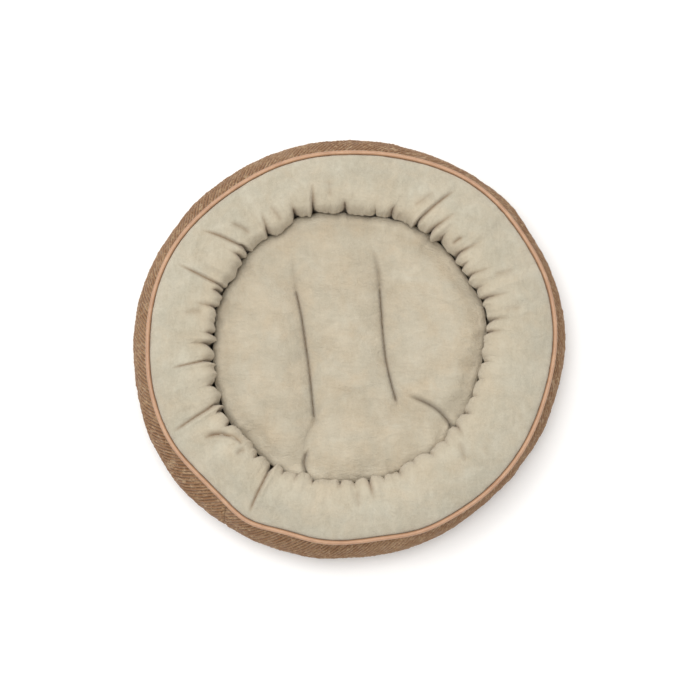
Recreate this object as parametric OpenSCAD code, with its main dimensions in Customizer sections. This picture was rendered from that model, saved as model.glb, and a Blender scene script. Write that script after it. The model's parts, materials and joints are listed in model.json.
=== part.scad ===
// Round pet bed: a stuffed bolster ring on a flat base, with a loose quilted cushion in its well.
// Millimetres, +Z up, origin on the floor at the centre of the ring.

/* [Bed] */
// Diameter at the widest part of the side wall
bed_d = 500; // [440:10:560]
// How far the base seam lies inside the widest part
base_inset = 24; // [16:1:30]
// How far the piped rim lies inside the widest part
rim_inset = 24; // [16:1:30]
// Height of the piped rim above the floor
rim_h = 98; // [92:1:104]
// Thickness of the base cloth
base_t = 2; // [1.5:0.1:2.5]
// Thickness of the side band cloth
band_t = 1.6; // [1.2:0.1:2]

/* [Bolster] */
// Radius of the well at its narrowest
well_r = 155; // [145:1:160]
// Height of the crest of the bolster
crest_h = 118; // [114:1:124]
// Radius at which the crest runs
crest_r = 189; // [184:1:196]
// Thickness of the plush with its pile
plush_t = 3; // [2:0.1:3.2]

/* [Trim] */
// Diameter of the covered piping
piping_d = 5.2; // [4.6:0.1:5.6]
// Diameter of the cord inside the piping
cord_d = 3.4; // [2.8:0.1:3.8]
// Where the two ends of the side band are joined, in degrees from +X
join_at = 234; // [0:1:359]
// Where the care label is sewn in, in degrees from +X
label_at = 68; // [0:1:359]
// Free length of the care label
label_l = 18; // [10:1:20]
// Width of the care label
label_w = 32; // [20:1:40]

/* [Cushion] */
// Gap between the cushion and the narrowest part of the well
cushion_gap = 3; // [2:0.5:8]
// Height of the cushion's crown above the floor
cushion_top = 78; // [72:0.5:80]
// Thickness of the cushion's cloth
cover_t = 2.5; // [2:0.1:3]
// Distance between the two stitched channels
channel_gap = 96; // [80:1:110]
// Sideways offset of the pair of channels
channel_shift = -4; // [-10:1:10]
// Turn of the channels from the Y axis, in degrees
channel_turn = 8; // [0:1:15]
// Length of a channel at the cushion's surface
channel_l = 150; // [130:5:170]

/* [Hidden] */
$fn = 160;

bed_r = bed_d / 2;
base_r = bed_r - base_inset;
rim_r = bed_r - rim_inset;
piping_r = piping_d / 2;
floor_t = 1.2;                       // lining at the bottom of the well
floor_z = base_t + floor_t;          // top of that lining
hem = 10;                            // seam allowance turned under at the seams
band_top = rim_h - piping_r;         // where the side band meets the piping
leg_r = rim_r - piping_r - 0.1;      // face of the plush that is sewn to the piping's tape
slack = 0.3;                         // air between the filling and its covers

// ---- outlines, as [radius, height] points ----

// Side wall, from the base seam up to the rim.
function wall_r(z) = let (s = (z - base_t) / (band_top - base_t))
    base_r + s * (rim_r - base_r) + (bed_r - (base_r + rim_r) / 2) * sin(180 * pow(s, 0.85));
wall = [for (i = [0:18]) let (z = base_t + (band_top - base_t) * i / 18) [wall_r(z), z]];

// Plush, from the edge sewn down at the rim, over the crest and down into the well. in = how far below the surface.
well_z = 66;                         // height at which the well is narrowest
well_flare = 7;                      // the wall of the well runs out again towards the floor
function plush_path(in = 0) = concat(
    [[leg_r - in, rim_h - hem], [leg_r - in, rim_h + 0.3 - in]],
    [for (i = [0:7]) let (r = leg_r - 0.6 - in - (leg_r - 0.6 - in - crest_r) * i / 8)
        [r, rim_h + 0.6 - in + (crest_h - rim_h - 0.6) * pow(cos(90 * (r - crest_r) / (leg_r - crest_r)), 0.8)]],
    [for (i = [0:12]) let (a = 90 * i / 12)
        [crest_r - (crest_r - well_r - in) * sin(a), well_z + (crest_h - in - well_z) * cos(a)]],
    [for (i = [1:7]) let (z = well_z - (well_z - floor_z - plush_t) * i / 7)
        [well_r + in + well_flare * (1 - cos(90 * i / 7)), z]]);

// ---- bolster ring ----

module base_panel() {
    color([0.25, 0.22, 0.2]) cylinder(r = base_r, h = base_t);
}

module floor_panel() {
    color([0.72, 0.67, 0.56]) translate([0, 0, base_t]) cylinder(r = well_r + well_flare + hem, h = floor_t);
}

module side_band() {
    color([0.55, 0.43, 0.32]) union() {
        rotate_extrude() polygon(concat(wall, [for (i = [18:-1:0]) wall[i] - [band_t, 0]]));
        // seam allowance turned in along the base
        rotate_extrude() translate([base_r - hem - 2, base_t]) square([hem + 1, band_t]);
    }
}

// The covered seam where the two ends of the band meet.
module band_join_seam() {
    color([0.45, 0.35, 0.26])
        rotate([0, 0, join_at]) rotate_extrude(angle = 0.4)
            polygon(concat([for (p = wall) p + [0.7, 0]], [for (i = [18:-1:0]) wall[i] + [0.05, 0]]));
}

module stitch_ring(r, z0, z1, w = 0.5) {
    translate([0, 0, z0]) difference() {
        cylinder(r = r + w / 2, h = z1 - z0);
        translate([0, 0, -1]) cylinder(r = r - w / 2, h = z1 - z0 + 2);
    }
}

module base_seam_thread() {
    color([0.4, 0.32, 0.24]) stitch_ring(base_r - 6, 0.3, base_t + band_t + 0.2);
}

module care_label() {
    color([0.93, 0.92, 0.88]) rotate([0, 0, label_at])
        translate([base_r - 6, -label_w / 2, base_t + 0.2]) cube([label_l + 6, label_w, 0.6]);
}

// Polyester fibre, pressed into the ring between the band, the plush and the base.
module bolster_fill() {
    color([0.95, 0.95, 0.93]) rotate_extrude() polygon(concat(
        [[base_r - hem - 4, base_t + slack], [base_r - hem - 4, base_t + band_t + slack], [base_r - 1, base_t + band_t + slack]],
        [for (i = [1:18]) if (wall[i][1] < rim_h - hem - 4 && wall[i][1] > base_t + band_t + 1) wall[i] - [band_t + slack, 0]],
        [[leg_r - plush_t - slack, rim_h - hem - 3]],
        [for (p = plush_path(plush_t + slack)) if (p[0] < leg_r - plush_t - slack - 0.1 && p[1] > floor_z + plush_t + 2.4) p],
        [[well_r + well_flare + plush_t + slack, floor_z + plush_t + 1.6],
         [well_r + well_flare + hem + 1, floor_z + plush_t + 1.6],
         [well_r + well_flare + hem + 1, base_t + slack]]));
}

module bolster_cover() {
    outer = plush_path();
    inner = plush_path(plush_t);
    n = len(outer);
    color([0.8, 0.77, 0.68]) union() {
        rotate_extrude() polygon(concat(outer, [for (i = [n - 1:-1:0]) inner[i]]));
        // gathered edge turned under the ring at the floor of the well
        rotate_extrude() translate([well_r + well_flare, floor_z]) square([hem, plush_t]);
    }
}

module gather_elastic() {
    color([0.9, 0.9, 0.88]) rotate_extrude()
        translate([well_r + well_flare + 4, floor_z + plush_t]) square([5, 1]);
}

module inner_seam_thread() {
    color([0.75, 0.7, 0.6]) stitch_ring(well_r + well_flare + 6.5, 0.3, floor_z + plush_t + 1.2);
}

// ---- piped rim ----

function ring_points(r, n = 20) = [for (i = [0:n - 1]) [r * cos(360 * i / n), r * sin(360 * i / n)]];

module rim_piping_cover() {
    color([0.84, 0.63, 0.48]) union() {
        rotate_extrude() translate([rim_r, rim_h]) difference() {
            polygon(ring_points(piping_r));
            polygon(ring_points(cord_d / 2 / cos(9) + 0.02));
        }
        // tape of the piping, sewn in between the band and the plush
        rotate_extrude() translate([leg_r + 0.15, rim_h - hem]) square([0.6, hem - 1.4]);
    }
}

module rim_piping_cord() {
    color([0.96, 0.95, 0.92]) rotate_extrude() translate([rim_r, rim_h]) circle(r = cord_d / 2, $fn = 48);
}

module rim_seam_thread() {
    color([0.6, 0.45, 0.34]) rotate_extrude()
        translate([leg_r - plush_t - 0.1, band_top - 2.4]) square([wall_r(band_top - 2.4) - leg_r + plush_t - 0.4, 0.4]);
}

// ---- cushion ----

cushion_r = well_r - cushion_gap;
cushion_z0 = floor_z + slack;        // underside of the cushion
mid_z = 36;                          // height of the cushion's edge seam
pinch = 5;                           // half the cushion's thickness along a channel
channel_slope = 0.28;                // how steeply a channel's sides open

function squircle(r, h, n) = [for (i = [0:n]) let (a = 90 * i / n)
    [r * pow(cos(a), 0.44), h * pow(sin(a), 0.44)]];

// Upper or lower half of the cushion as a closed outline, in = how far below the surface.
module half_outline(h, in) {
    polygon(concat([[0, 0]], [for (p = squircle(cushion_r - in, h - in, 16)) p]));
}

module cushion_upper(in = 0) {
    translate([0, 0, mid_z]) rotate_extrude() half_outline(cushion_top - mid_z, in);
}

module cushion_lower(in = 0) {
    translate([0, 0, mid_z]) mirror([0, 0, 1]) rotate_extrude() half_outline(mid_z - cushion_z0, in);
}

// A cutter like a wheel with a V rim: it leaves a channel that is deep in the middle and fades out at both ends.
module v_wheel(depth) {
    r = (pow(channel_l / 2, 2) + depth * depth) / (2 * depth);
    translate([0, 0, r]) rotate([0, 90, 0])
        rotate_extrude() polygon([[0, -r * channel_slope], [r, 0], [0, r * channel_slope]]);
}

module at_channel(side) {
    rotate([0, 0, channel_turn]) translate([channel_shift + side * channel_gap / 2, -3, 0]) children();
}

module cushion_top_cover() {
    color([0.79, 0.74, 0.63]) difference() {
        cushion_upper();
        difference() {
            translate([0, 0, -0.01]) cushion_upper(cover_t);
            for (side = [-1, 1]) at_channel(side)
                translate([0, 0, mid_z + pinch - cover_t]) v_wheel(cushion_top - mid_z - pinch);
        }
        for (side = [-1, 1]) at_channel(side)
            translate([0, 0, mid_z + pinch]) v_wheel(cushion_top - mid_z - pinch);
    }
}

module cushion_bottom_cover() {
    color([0.79, 0.74, 0.63]) difference() {
        cushion_lower();
        difference() {
            translate([0, 0, 0.01]) cushion_lower(cover_t);
            for (side = [-1, 1]) at_channel(side)
                translate([0, 0, mid_z - pinch + cover_t]) mirror([0, 0, 1]) v_wheel(mid_z - pinch - cushion_z0);
        }
        for (side = [-1, 1]) at_channel(side)
            translate([0, 0, mid_z - pinch]) mirror([0, 0, 1]) v_wheel(mid_z - pinch - cushion_z0);
    }
}

module cushion_fill() {
    color([0.95, 0.95, 0.93]) difference() {
        union() {
            cushion_upper(cover_t + slack);
            cushion_lower(cover_t + slack);
        }
        for (side = [-1, 1]) at_channel(side) {
            translate([0, 0, mid_z + pinch - cover_t - slack]) v_wheel(cushion_top - mid_z - pinch);
            translate([0, 0, mid_z - pinch + cover_t + slack]) mirror([0, 0, 1]) v_wheel(mid_z - pinch - cushion_z0);
        }
    }
}

module cushion_edge_thread() {
    color([0.7, 0.65, 0.54]) translate([0, 0, mid_z - 0.2]) difference() {
        cylinder(r = cushion_r - 0.4, h = 0.4);
        translate([0, 0, -1]) cylinder(r = cushion_r - cover_t - 0.2, h = 2.4);
    }
}

// Quilting thread through both covers along a channel.
module channel_stitch(side) {
    color([0.6, 0.54, 0.43]) at_channel(side)
        translate([-0.3, -channel_l * 0.35, mid_z - pinch - 0.2]) cube([0.6, channel_l * 0.7, 2 * pinch + 0.4]);
}

module channel_stitch_left() { channel_stitch(-1); }
module channel_stitch_right() { channel_stitch(1); }

base_panel();
floor_panel();
side_band();
band_join_seam();
base_seam_thread();
care_label();
bolster_fill();
bolster_cover();
gather_elastic();
inner_seam_thread();
rim_piping_cover();
rim_piping_cord();
rim_seam_thread();
cushion_bottom_cover();
cushion_fill();
cushion_top_cover();
cushion_edge_thread();
channel_stitch_left();
channel_stitch_right();
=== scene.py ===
import json
import math

import bmesh
import bpy
import numpy as np
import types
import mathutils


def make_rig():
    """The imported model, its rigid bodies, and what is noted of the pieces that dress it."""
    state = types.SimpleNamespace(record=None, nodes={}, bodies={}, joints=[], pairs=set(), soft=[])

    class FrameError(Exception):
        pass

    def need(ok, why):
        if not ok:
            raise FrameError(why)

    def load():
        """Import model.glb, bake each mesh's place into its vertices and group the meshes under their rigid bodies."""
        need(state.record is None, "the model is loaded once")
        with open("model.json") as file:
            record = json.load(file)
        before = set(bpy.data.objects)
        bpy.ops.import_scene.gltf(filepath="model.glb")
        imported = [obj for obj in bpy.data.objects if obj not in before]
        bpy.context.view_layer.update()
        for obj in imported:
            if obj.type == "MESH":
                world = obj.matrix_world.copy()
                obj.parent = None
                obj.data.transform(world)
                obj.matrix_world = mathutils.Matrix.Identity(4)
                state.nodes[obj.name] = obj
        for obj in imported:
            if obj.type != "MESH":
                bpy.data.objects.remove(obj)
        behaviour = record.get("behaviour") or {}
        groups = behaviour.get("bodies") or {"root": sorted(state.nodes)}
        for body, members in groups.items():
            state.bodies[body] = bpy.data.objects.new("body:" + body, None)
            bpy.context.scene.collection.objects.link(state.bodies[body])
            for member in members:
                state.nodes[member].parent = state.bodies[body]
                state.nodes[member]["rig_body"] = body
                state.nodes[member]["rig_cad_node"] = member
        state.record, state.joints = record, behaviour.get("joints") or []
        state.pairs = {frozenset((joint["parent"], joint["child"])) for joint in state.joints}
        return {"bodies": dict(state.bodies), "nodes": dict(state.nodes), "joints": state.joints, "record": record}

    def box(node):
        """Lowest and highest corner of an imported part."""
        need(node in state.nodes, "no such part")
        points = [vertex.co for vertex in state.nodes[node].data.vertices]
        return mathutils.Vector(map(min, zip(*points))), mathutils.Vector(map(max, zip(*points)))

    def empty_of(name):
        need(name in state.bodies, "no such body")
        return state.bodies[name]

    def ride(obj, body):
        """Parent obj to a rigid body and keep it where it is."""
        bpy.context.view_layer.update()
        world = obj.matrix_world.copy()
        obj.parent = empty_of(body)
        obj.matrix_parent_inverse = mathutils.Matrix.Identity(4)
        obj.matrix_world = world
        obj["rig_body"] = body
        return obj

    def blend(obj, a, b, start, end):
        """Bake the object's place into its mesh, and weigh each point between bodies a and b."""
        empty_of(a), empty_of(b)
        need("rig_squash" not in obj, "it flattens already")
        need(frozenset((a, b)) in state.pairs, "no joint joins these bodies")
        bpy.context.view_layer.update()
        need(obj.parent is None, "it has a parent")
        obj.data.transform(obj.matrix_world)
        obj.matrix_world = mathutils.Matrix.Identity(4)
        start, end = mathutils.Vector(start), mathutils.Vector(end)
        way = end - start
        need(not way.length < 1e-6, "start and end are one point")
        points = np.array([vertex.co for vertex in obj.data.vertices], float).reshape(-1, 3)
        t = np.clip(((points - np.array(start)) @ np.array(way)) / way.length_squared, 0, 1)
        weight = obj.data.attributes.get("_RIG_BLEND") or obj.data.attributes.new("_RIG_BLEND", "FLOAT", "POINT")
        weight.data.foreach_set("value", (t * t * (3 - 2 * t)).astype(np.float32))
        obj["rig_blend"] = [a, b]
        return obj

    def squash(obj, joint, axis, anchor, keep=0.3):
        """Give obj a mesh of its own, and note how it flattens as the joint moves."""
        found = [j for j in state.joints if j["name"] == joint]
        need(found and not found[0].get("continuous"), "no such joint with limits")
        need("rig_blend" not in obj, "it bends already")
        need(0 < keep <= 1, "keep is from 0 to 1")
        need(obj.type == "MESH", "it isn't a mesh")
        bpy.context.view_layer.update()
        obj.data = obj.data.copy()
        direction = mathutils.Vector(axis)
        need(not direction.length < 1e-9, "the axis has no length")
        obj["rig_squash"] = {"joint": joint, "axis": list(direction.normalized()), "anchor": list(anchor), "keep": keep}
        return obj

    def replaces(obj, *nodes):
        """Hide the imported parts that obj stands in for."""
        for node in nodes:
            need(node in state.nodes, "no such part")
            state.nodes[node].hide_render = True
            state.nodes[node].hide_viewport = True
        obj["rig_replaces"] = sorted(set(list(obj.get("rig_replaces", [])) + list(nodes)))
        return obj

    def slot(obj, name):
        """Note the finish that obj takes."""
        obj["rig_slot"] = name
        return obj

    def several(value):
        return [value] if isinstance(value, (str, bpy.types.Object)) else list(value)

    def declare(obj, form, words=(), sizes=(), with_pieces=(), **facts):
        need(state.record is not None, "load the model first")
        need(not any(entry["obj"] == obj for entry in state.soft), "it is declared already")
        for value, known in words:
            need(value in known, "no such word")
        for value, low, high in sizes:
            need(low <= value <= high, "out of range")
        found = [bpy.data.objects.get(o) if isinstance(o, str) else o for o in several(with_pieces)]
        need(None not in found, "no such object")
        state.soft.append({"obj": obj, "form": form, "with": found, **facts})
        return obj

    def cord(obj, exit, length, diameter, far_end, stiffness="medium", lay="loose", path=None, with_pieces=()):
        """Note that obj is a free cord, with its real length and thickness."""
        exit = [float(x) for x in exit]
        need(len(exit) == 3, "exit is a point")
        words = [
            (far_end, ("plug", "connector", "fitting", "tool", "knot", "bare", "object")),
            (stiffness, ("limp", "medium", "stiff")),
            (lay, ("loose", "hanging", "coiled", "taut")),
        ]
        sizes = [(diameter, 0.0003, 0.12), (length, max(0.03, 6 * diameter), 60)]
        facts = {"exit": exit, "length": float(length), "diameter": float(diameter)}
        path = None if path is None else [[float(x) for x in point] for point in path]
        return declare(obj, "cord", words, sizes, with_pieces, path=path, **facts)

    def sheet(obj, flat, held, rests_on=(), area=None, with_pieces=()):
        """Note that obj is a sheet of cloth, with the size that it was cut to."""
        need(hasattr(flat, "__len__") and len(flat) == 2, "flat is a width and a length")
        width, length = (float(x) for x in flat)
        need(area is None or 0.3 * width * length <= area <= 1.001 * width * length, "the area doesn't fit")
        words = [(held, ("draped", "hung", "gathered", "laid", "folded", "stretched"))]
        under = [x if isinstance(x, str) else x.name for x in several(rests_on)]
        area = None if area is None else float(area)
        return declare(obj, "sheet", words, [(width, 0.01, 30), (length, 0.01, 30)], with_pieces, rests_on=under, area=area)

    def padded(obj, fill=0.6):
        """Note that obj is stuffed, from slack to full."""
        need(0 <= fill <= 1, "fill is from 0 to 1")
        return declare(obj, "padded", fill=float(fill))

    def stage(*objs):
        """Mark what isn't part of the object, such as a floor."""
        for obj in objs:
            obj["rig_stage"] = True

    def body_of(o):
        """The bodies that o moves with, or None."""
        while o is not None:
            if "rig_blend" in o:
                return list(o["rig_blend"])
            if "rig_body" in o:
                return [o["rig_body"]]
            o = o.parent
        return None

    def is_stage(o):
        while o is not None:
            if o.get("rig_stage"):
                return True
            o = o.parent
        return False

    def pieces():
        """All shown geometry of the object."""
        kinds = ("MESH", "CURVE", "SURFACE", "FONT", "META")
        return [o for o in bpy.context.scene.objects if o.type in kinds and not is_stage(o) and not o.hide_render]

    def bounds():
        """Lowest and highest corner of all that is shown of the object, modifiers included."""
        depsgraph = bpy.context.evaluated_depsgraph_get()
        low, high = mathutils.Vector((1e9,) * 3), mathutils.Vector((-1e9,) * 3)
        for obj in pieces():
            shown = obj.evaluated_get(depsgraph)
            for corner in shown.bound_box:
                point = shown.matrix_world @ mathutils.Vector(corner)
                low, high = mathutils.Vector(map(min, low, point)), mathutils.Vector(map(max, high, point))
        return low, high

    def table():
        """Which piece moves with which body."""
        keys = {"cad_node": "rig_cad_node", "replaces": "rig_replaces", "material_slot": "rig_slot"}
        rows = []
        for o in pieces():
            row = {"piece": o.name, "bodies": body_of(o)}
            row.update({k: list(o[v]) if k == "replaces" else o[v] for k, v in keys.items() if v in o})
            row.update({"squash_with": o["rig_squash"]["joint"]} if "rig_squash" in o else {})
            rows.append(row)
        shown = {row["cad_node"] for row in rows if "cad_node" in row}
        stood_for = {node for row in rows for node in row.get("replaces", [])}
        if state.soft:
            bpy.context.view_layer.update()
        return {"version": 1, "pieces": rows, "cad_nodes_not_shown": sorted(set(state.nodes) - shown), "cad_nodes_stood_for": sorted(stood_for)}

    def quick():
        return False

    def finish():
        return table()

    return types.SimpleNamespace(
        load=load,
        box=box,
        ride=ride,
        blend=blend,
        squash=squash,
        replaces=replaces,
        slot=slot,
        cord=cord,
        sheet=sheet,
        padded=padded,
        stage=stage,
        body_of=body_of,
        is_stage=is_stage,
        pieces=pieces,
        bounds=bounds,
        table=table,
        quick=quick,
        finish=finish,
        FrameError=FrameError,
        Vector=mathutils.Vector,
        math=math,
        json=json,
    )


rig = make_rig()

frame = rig.load()
CAD_LO, CAD_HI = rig.bounds()
MM = 0.001
scene = bpy.context.scene

# ------------------------------------------------------------------ sizes from the frame
lo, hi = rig.box("base_panel")
BASE_R = (hi.x - lo.x) / 2 / MM                  # radius of the base cloth
lo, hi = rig.box("rim_piping_cord")
RIM_Z = (lo.z + hi.z) / 2 / MM                   # height of the piping
CORD_R = (hi.z - lo.z) / 2 / MM
RIM_R = (hi.x - lo.x) / 2 / MM - CORD_R          # radius of the piping's middle
lo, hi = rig.box("rim_piping_cover")
PIPE_R = hi.z / MM - RIM_Z
lo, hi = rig.box("side_band")
BED_R = (hi.x - lo.x) / 2 / MM
lo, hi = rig.box("bolster_cover")
CREST_Z = hi.z / MM
lo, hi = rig.box("floor_panel")
FLOOR_Z, FLOOR_R = hi.z / MM, (hi.x - lo.x) / 2 / MM
lo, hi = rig.box("cushion_top_cover")
CUSH_TOP, CUSH_MID, CUSH_R = hi.z / MM, lo.z / MM, (hi.x - lo.x) / 2 / MM
lo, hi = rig.box("cushion_bottom_cover")
CUSH_BOT = lo.z / MM

# ------------------------------------------------------------------ small maths kit
TAU = 2 * math.pi


def periodic(deg, val):
    """Smooth closed curve through values at angles in degrees; returns a function of radians."""
    x = np.radians(np.array(deg, float))
    y = np.array(val, float)
    n = len(x)
    h = np.diff(np.append(x, x[0] + TAU))
    a = np.zeros((n, n))
    b = np.zeros(n)
    for i in range(n):
        p, q = (i - 1) % n, (i + 1) % n
        a[i, p] += h[p]
        a[i, i] += 2 * (h[p] + h[i])
        a[i, q] += h[i]
        b[i] = 6 * ((y[q] - y[i]) / h[i] - (y[i] - y[p]) / h[p])
    m = np.linalg.solve(a, b)

    def f(t):
        t = np.mod(np.asarray(t, float) - x[0], TAU) + x[0]
        i = np.clip(np.searchsorted(x, t, side="right") - 1, 0, n - 1)
        q = (i + 1) % n
        u = t - x[i]
        v = h[i] - u
        return (m[i] * v**3 + m[q] * u**3) / (6 * h[i]) + (y[i] / h[i] - m[i] * h[i] / 6) * v + (y[q] / h[i] - m[q] * h[i] / 6) * u

    return f


def spline_rows(ctrl, t_knots, t):
    """Natural cubic through ctrl[k] (K, ...) at t_knots, evaluated at t."""
    k = len(t_knots)
    h = np.diff(t_knots)
    a = np.zeros((k, k))
    a[0, 0] = a[-1, -1] = 1
    flat = ctrl.reshape(k, -1)
    b = np.zeros_like(flat)
    for i in range(1, k - 1):
        a[i, i - 1], a[i, i], a[i, i + 1] = h[i - 1], 2 * (h[i - 1] + h[i]), h[i]
        b[i] = 6 * ((flat[i + 1] - flat[i]) / h[i] - (flat[i] - flat[i - 1]) / h[i - 1])
    m = np.linalg.solve(a, b)
    i = np.clip(np.searchsorted(t_knots, t, side="right") - 1, 0, k - 2)
    u = (t - t_knots[i])[:, None]
    v = (t_knots[i + 1] - t)[:, None]
    hh = h[i][:, None]
    out = (m[i] * v**3 + m[i + 1] * u**3) / (6 * hh) + (flat[i] / hh - m[i] * hh / 6) * v + (flat[i + 1] / hh - m[i + 1] * hh / 6) * u
    return out.reshape((len(t),) + ctrl.shape[1:])


def _hash(ix, iy, iz, seed):
    h = (ix * 73856093) ^ (iy * 19349663) ^ (iz * 83492791) ^ (seed * 2654435761)
    h = (h ^ (h >> 13)) * 1274126177
    h = h & 0xFFFFFFFF
    h = ((h ^ (h >> 15)) * 2246822519) & 0xFFFFFFFF
    return (h ^ (h >> 16)) / 4294967295.0


def vnoise(x, y, z, seed=1):
    """Smooth value noise from -1 to 1, with one cell per unit."""
    x, y, z = np.broadcast_arrays(x, y, z)
    ix, iy, iz = (np.floor(c).astype(np.int64) for c in (x, y, z))
    fx, fy, fz = x - ix, y - iy, z - iz
    wx, wy, wz = (f * f * f * (f * (f * 6 - 15) + 10) for f in (fx, fy, fz))
    out = 0
    for dx in (0, 1):
        for dy in (0, 1):
            for dz in (0, 1):
                w = (wx if dx else 1 - wx) * (wy if dy else 1 - wy) * (wz if dz else 1 - wz)
                out = out + w * _hash(ix + dx, iy + dy, iz + dz, seed)
    return out * 2 - 1


def fbm(x, y, z, seed=1, octaves=3, gain=0.5):
    out, amp, f, tot = 0, 1.0, 1.0, 0.0
    for o in range(octaves):
        out = out + amp * vnoise(x * f + 17.3 * o, y * f, z * f, seed + o)
        tot += amp
        amp *= gain
        f *= 2.03
    return out / tot


def smooth01(a, b, x):
    t = np.clip((x - a) / (b - a), 0, 1)
    return t * t * (3 - 2 * t)


def upsampler(n, m, wrap):
    """Matrix that takes n samples to m by Catmull-Rom; ends meet if wrap."""
    out = np.zeros((m, n))
    for j in range(m):
        x = j * n / m if wrap else j * (n - 1) / (m - 1)
        i = min(int(math.floor(x)), n - 1 if wrap else n - 2)
        f = x - i
        w = (-0.5 * f + f * f - 0.5 * f**3, 1 - 2.5 * f * f + 1.5 * f**3, 0.5 * f + 2 * f * f - 1.5 * f**3, -0.5 * f * f + 0.5 * f**3)
        for k in range(4):
            q = i - 1 + k
            if wrap:
                out[j, q % n] += w[k]
            elif q < 0:
                out[j, 0] += 2 * w[k]
                out[j, 1] -= w[k]
            elif q > n - 1:
                out[j, n - 1] += 2 * w[k]
                out[j, n - 2] -= w[k]
            else:
                out[j, q] += w[k]
    return out


def path_dist(x, y, pts):
    """Distance to a polyline, signed across it, and how far along it the nearest point is, 0 to 1."""
    pts = np.array(pts, float)
    seg = np.diff(pts, axis=0)
    length = np.linalg.norm(seg, axis=1)
    start = np.concatenate([[0], np.cumsum(length)])
    best = np.full(np.shape(x), 1e9)
    side = np.zeros(np.shape(x))
    along = np.zeros(np.shape(x))
    for k in range(len(seg)):
        dx, dy = x - pts[k, 0], y - pts[k, 1]
        t = np.clip((dx * seg[k, 0] + dy * seg[k, 1]) / length[k] ** 2, 0, 1)
        ex, ey = dx - t * seg[k, 0], dy - t * seg[k, 1]
        d = np.hypot(ex, ey)
        near = d < best
        best = np.where(near, d, best)
        side = np.where(near, np.sign(seg[k, 0] * dy - seg[k, 1] * dx), side)
        along = np.where(near, (start[k] + t * length[k]) / start[-1], along)
    return best, side, along


def smooth_path(pts, n=24):
    """A rounded version of a hand-made polyline."""
    pts = np.array(pts, float)
    d = np.concatenate([[0], np.cumsum(np.linalg.norm(np.diff(pts, axis=0), axis=1))])
    return spline_rows(pts, d, np.linspace(0, d[-1], n))


# ------------------------------------------------------------------ mesh kit


def make_mesh(name, verts, quads, tris=None, uv=None, uv_tris=None, attrs=None, smooth=True):
    """verts in millimetres; quads (N, 4) and tris (M, 3) of indices; uv (N, 4, 2)."""
    me = bpy.data.meshes.new(name)
    verts = np.ascontiguousarray(np.asarray(verts, float).reshape(-1, 3) * MM, dtype=np.float32)
    quads = np.asarray(quads, np.int32).reshape(-1, 4)
    tris = np.zeros((0, 3), np.int32) if tris is None else np.asarray(tris, np.int32).reshape(-1, 3)
    me.vertices.add(len(verts))
    me.vertices.foreach_set("co", verts.ravel())
    loops = np.concatenate([quads.ravel(), tris.ravel()])
    me.loops.add(len(loops))
    me.loops.foreach_set("vertex_index", loops)
    start = np.concatenate([np.arange(len(quads)) * 4, len(quads) * 4 + np.arange(len(tris)) * 3]).astype(np.int32)
    total = np.concatenate([np.full(len(quads), 4), np.full(len(tris), 3)]).astype(np.int32)
    me.polygons.add(len(start))
    me.polygons.foreach_set("loop_start", start)
    me.polygons.foreach_set("loop_total", total)
    me.polygons.foreach_set("use_smooth", np.full(len(start), smooth, bool))
    if uv is not None:
        layer = me.uv_layers.new(name="map")
        flat = np.asarray(uv, np.float32).reshape(-1, 2)
        if len(tris):
            extra = np.zeros((len(tris) * 3, 2), np.float32) if uv_tris is None else np.asarray(uv_tris, np.float32).reshape(-1, 2)
            flat = np.concatenate([flat, extra])
        layer.data.foreach_set("uv", flat.ravel())
    me.update(calc_edges=True)
    me.validate()
    for key, val in (attrs or {}).items():
        a = me.attributes.new(key, "FLOAT", "POINT")
        a.data.foreach_set("value", np.asarray(val, np.float32).ravel())
    if len(start) < 90000:
        bm = bmesh.new()
        bm.from_mesh(me)
        bmesh.ops.recalc_face_normals(bm, faces=bm.faces)
        bm.to_mesh(me)
        bm.free()
    ob = bpy.data.objects.new(name, me)
    scene.collection.objects.link(ob)
    return ob


def grid_quads(nu, nv, wrap_u, wrap_v, flip=False):
    u = np.arange(nu if wrap_u else nu - 1)
    v = np.arange(nv if wrap_v else nv - 1)
    a, b = np.meshgrid(u, v, indexing="ij")
    a1, b1 = (a + 1) % nu, (b + 1) % nv
    q = np.stack([a * nv + b, a1 * nv + b, a1 * nv + b1, a * nv + b1], -1).reshape(-1, 4)
    return q[:, ::-1] if flip else q


def grid_uv(nu, nv, wrap_u, wrap_v, us, vs, flip=False):
    """us has nu + 1 entries if wrap_u, vs has nv + 1 if wrap_v."""
    u = np.arange(nu if wrap_u else nu - 1)
    v = np.arange(nv if wrap_v else nv - 1)
    a, b = np.meshgrid(u, v, indexing="ij")
    uv = np.stack([
        np.stack([us[a], vs[b]], -1), np.stack([us[a + 1], vs[b]], -1),
        np.stack([us[a + 1], vs[b + 1]], -1), np.stack([us[a], vs[b + 1]], -1)], 2).reshape(-1, 4, 2)
    return uv[:, ::-1] if flip else uv


def grid_normals(p, wrap_u, wrap_v=False):
    def diff(x, axis, wrap):
        if wrap:
            return np.roll(x, -1, axis) - np.roll(x, 1, axis)
        return np.gradient(x, axis=axis)
    n = np.cross(diff(p, 0, wrap_u), diff(p, 1, wrap_v))
    return n / np.maximum(np.linalg.norm(n, axis=-1, keepdims=True), 1e-9)


def polar(r, th, z):
    return np.stack([r * np.cos(th), r * np.sin(th), np.broadcast_to(z, np.shape(r * th))], -1)


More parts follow.
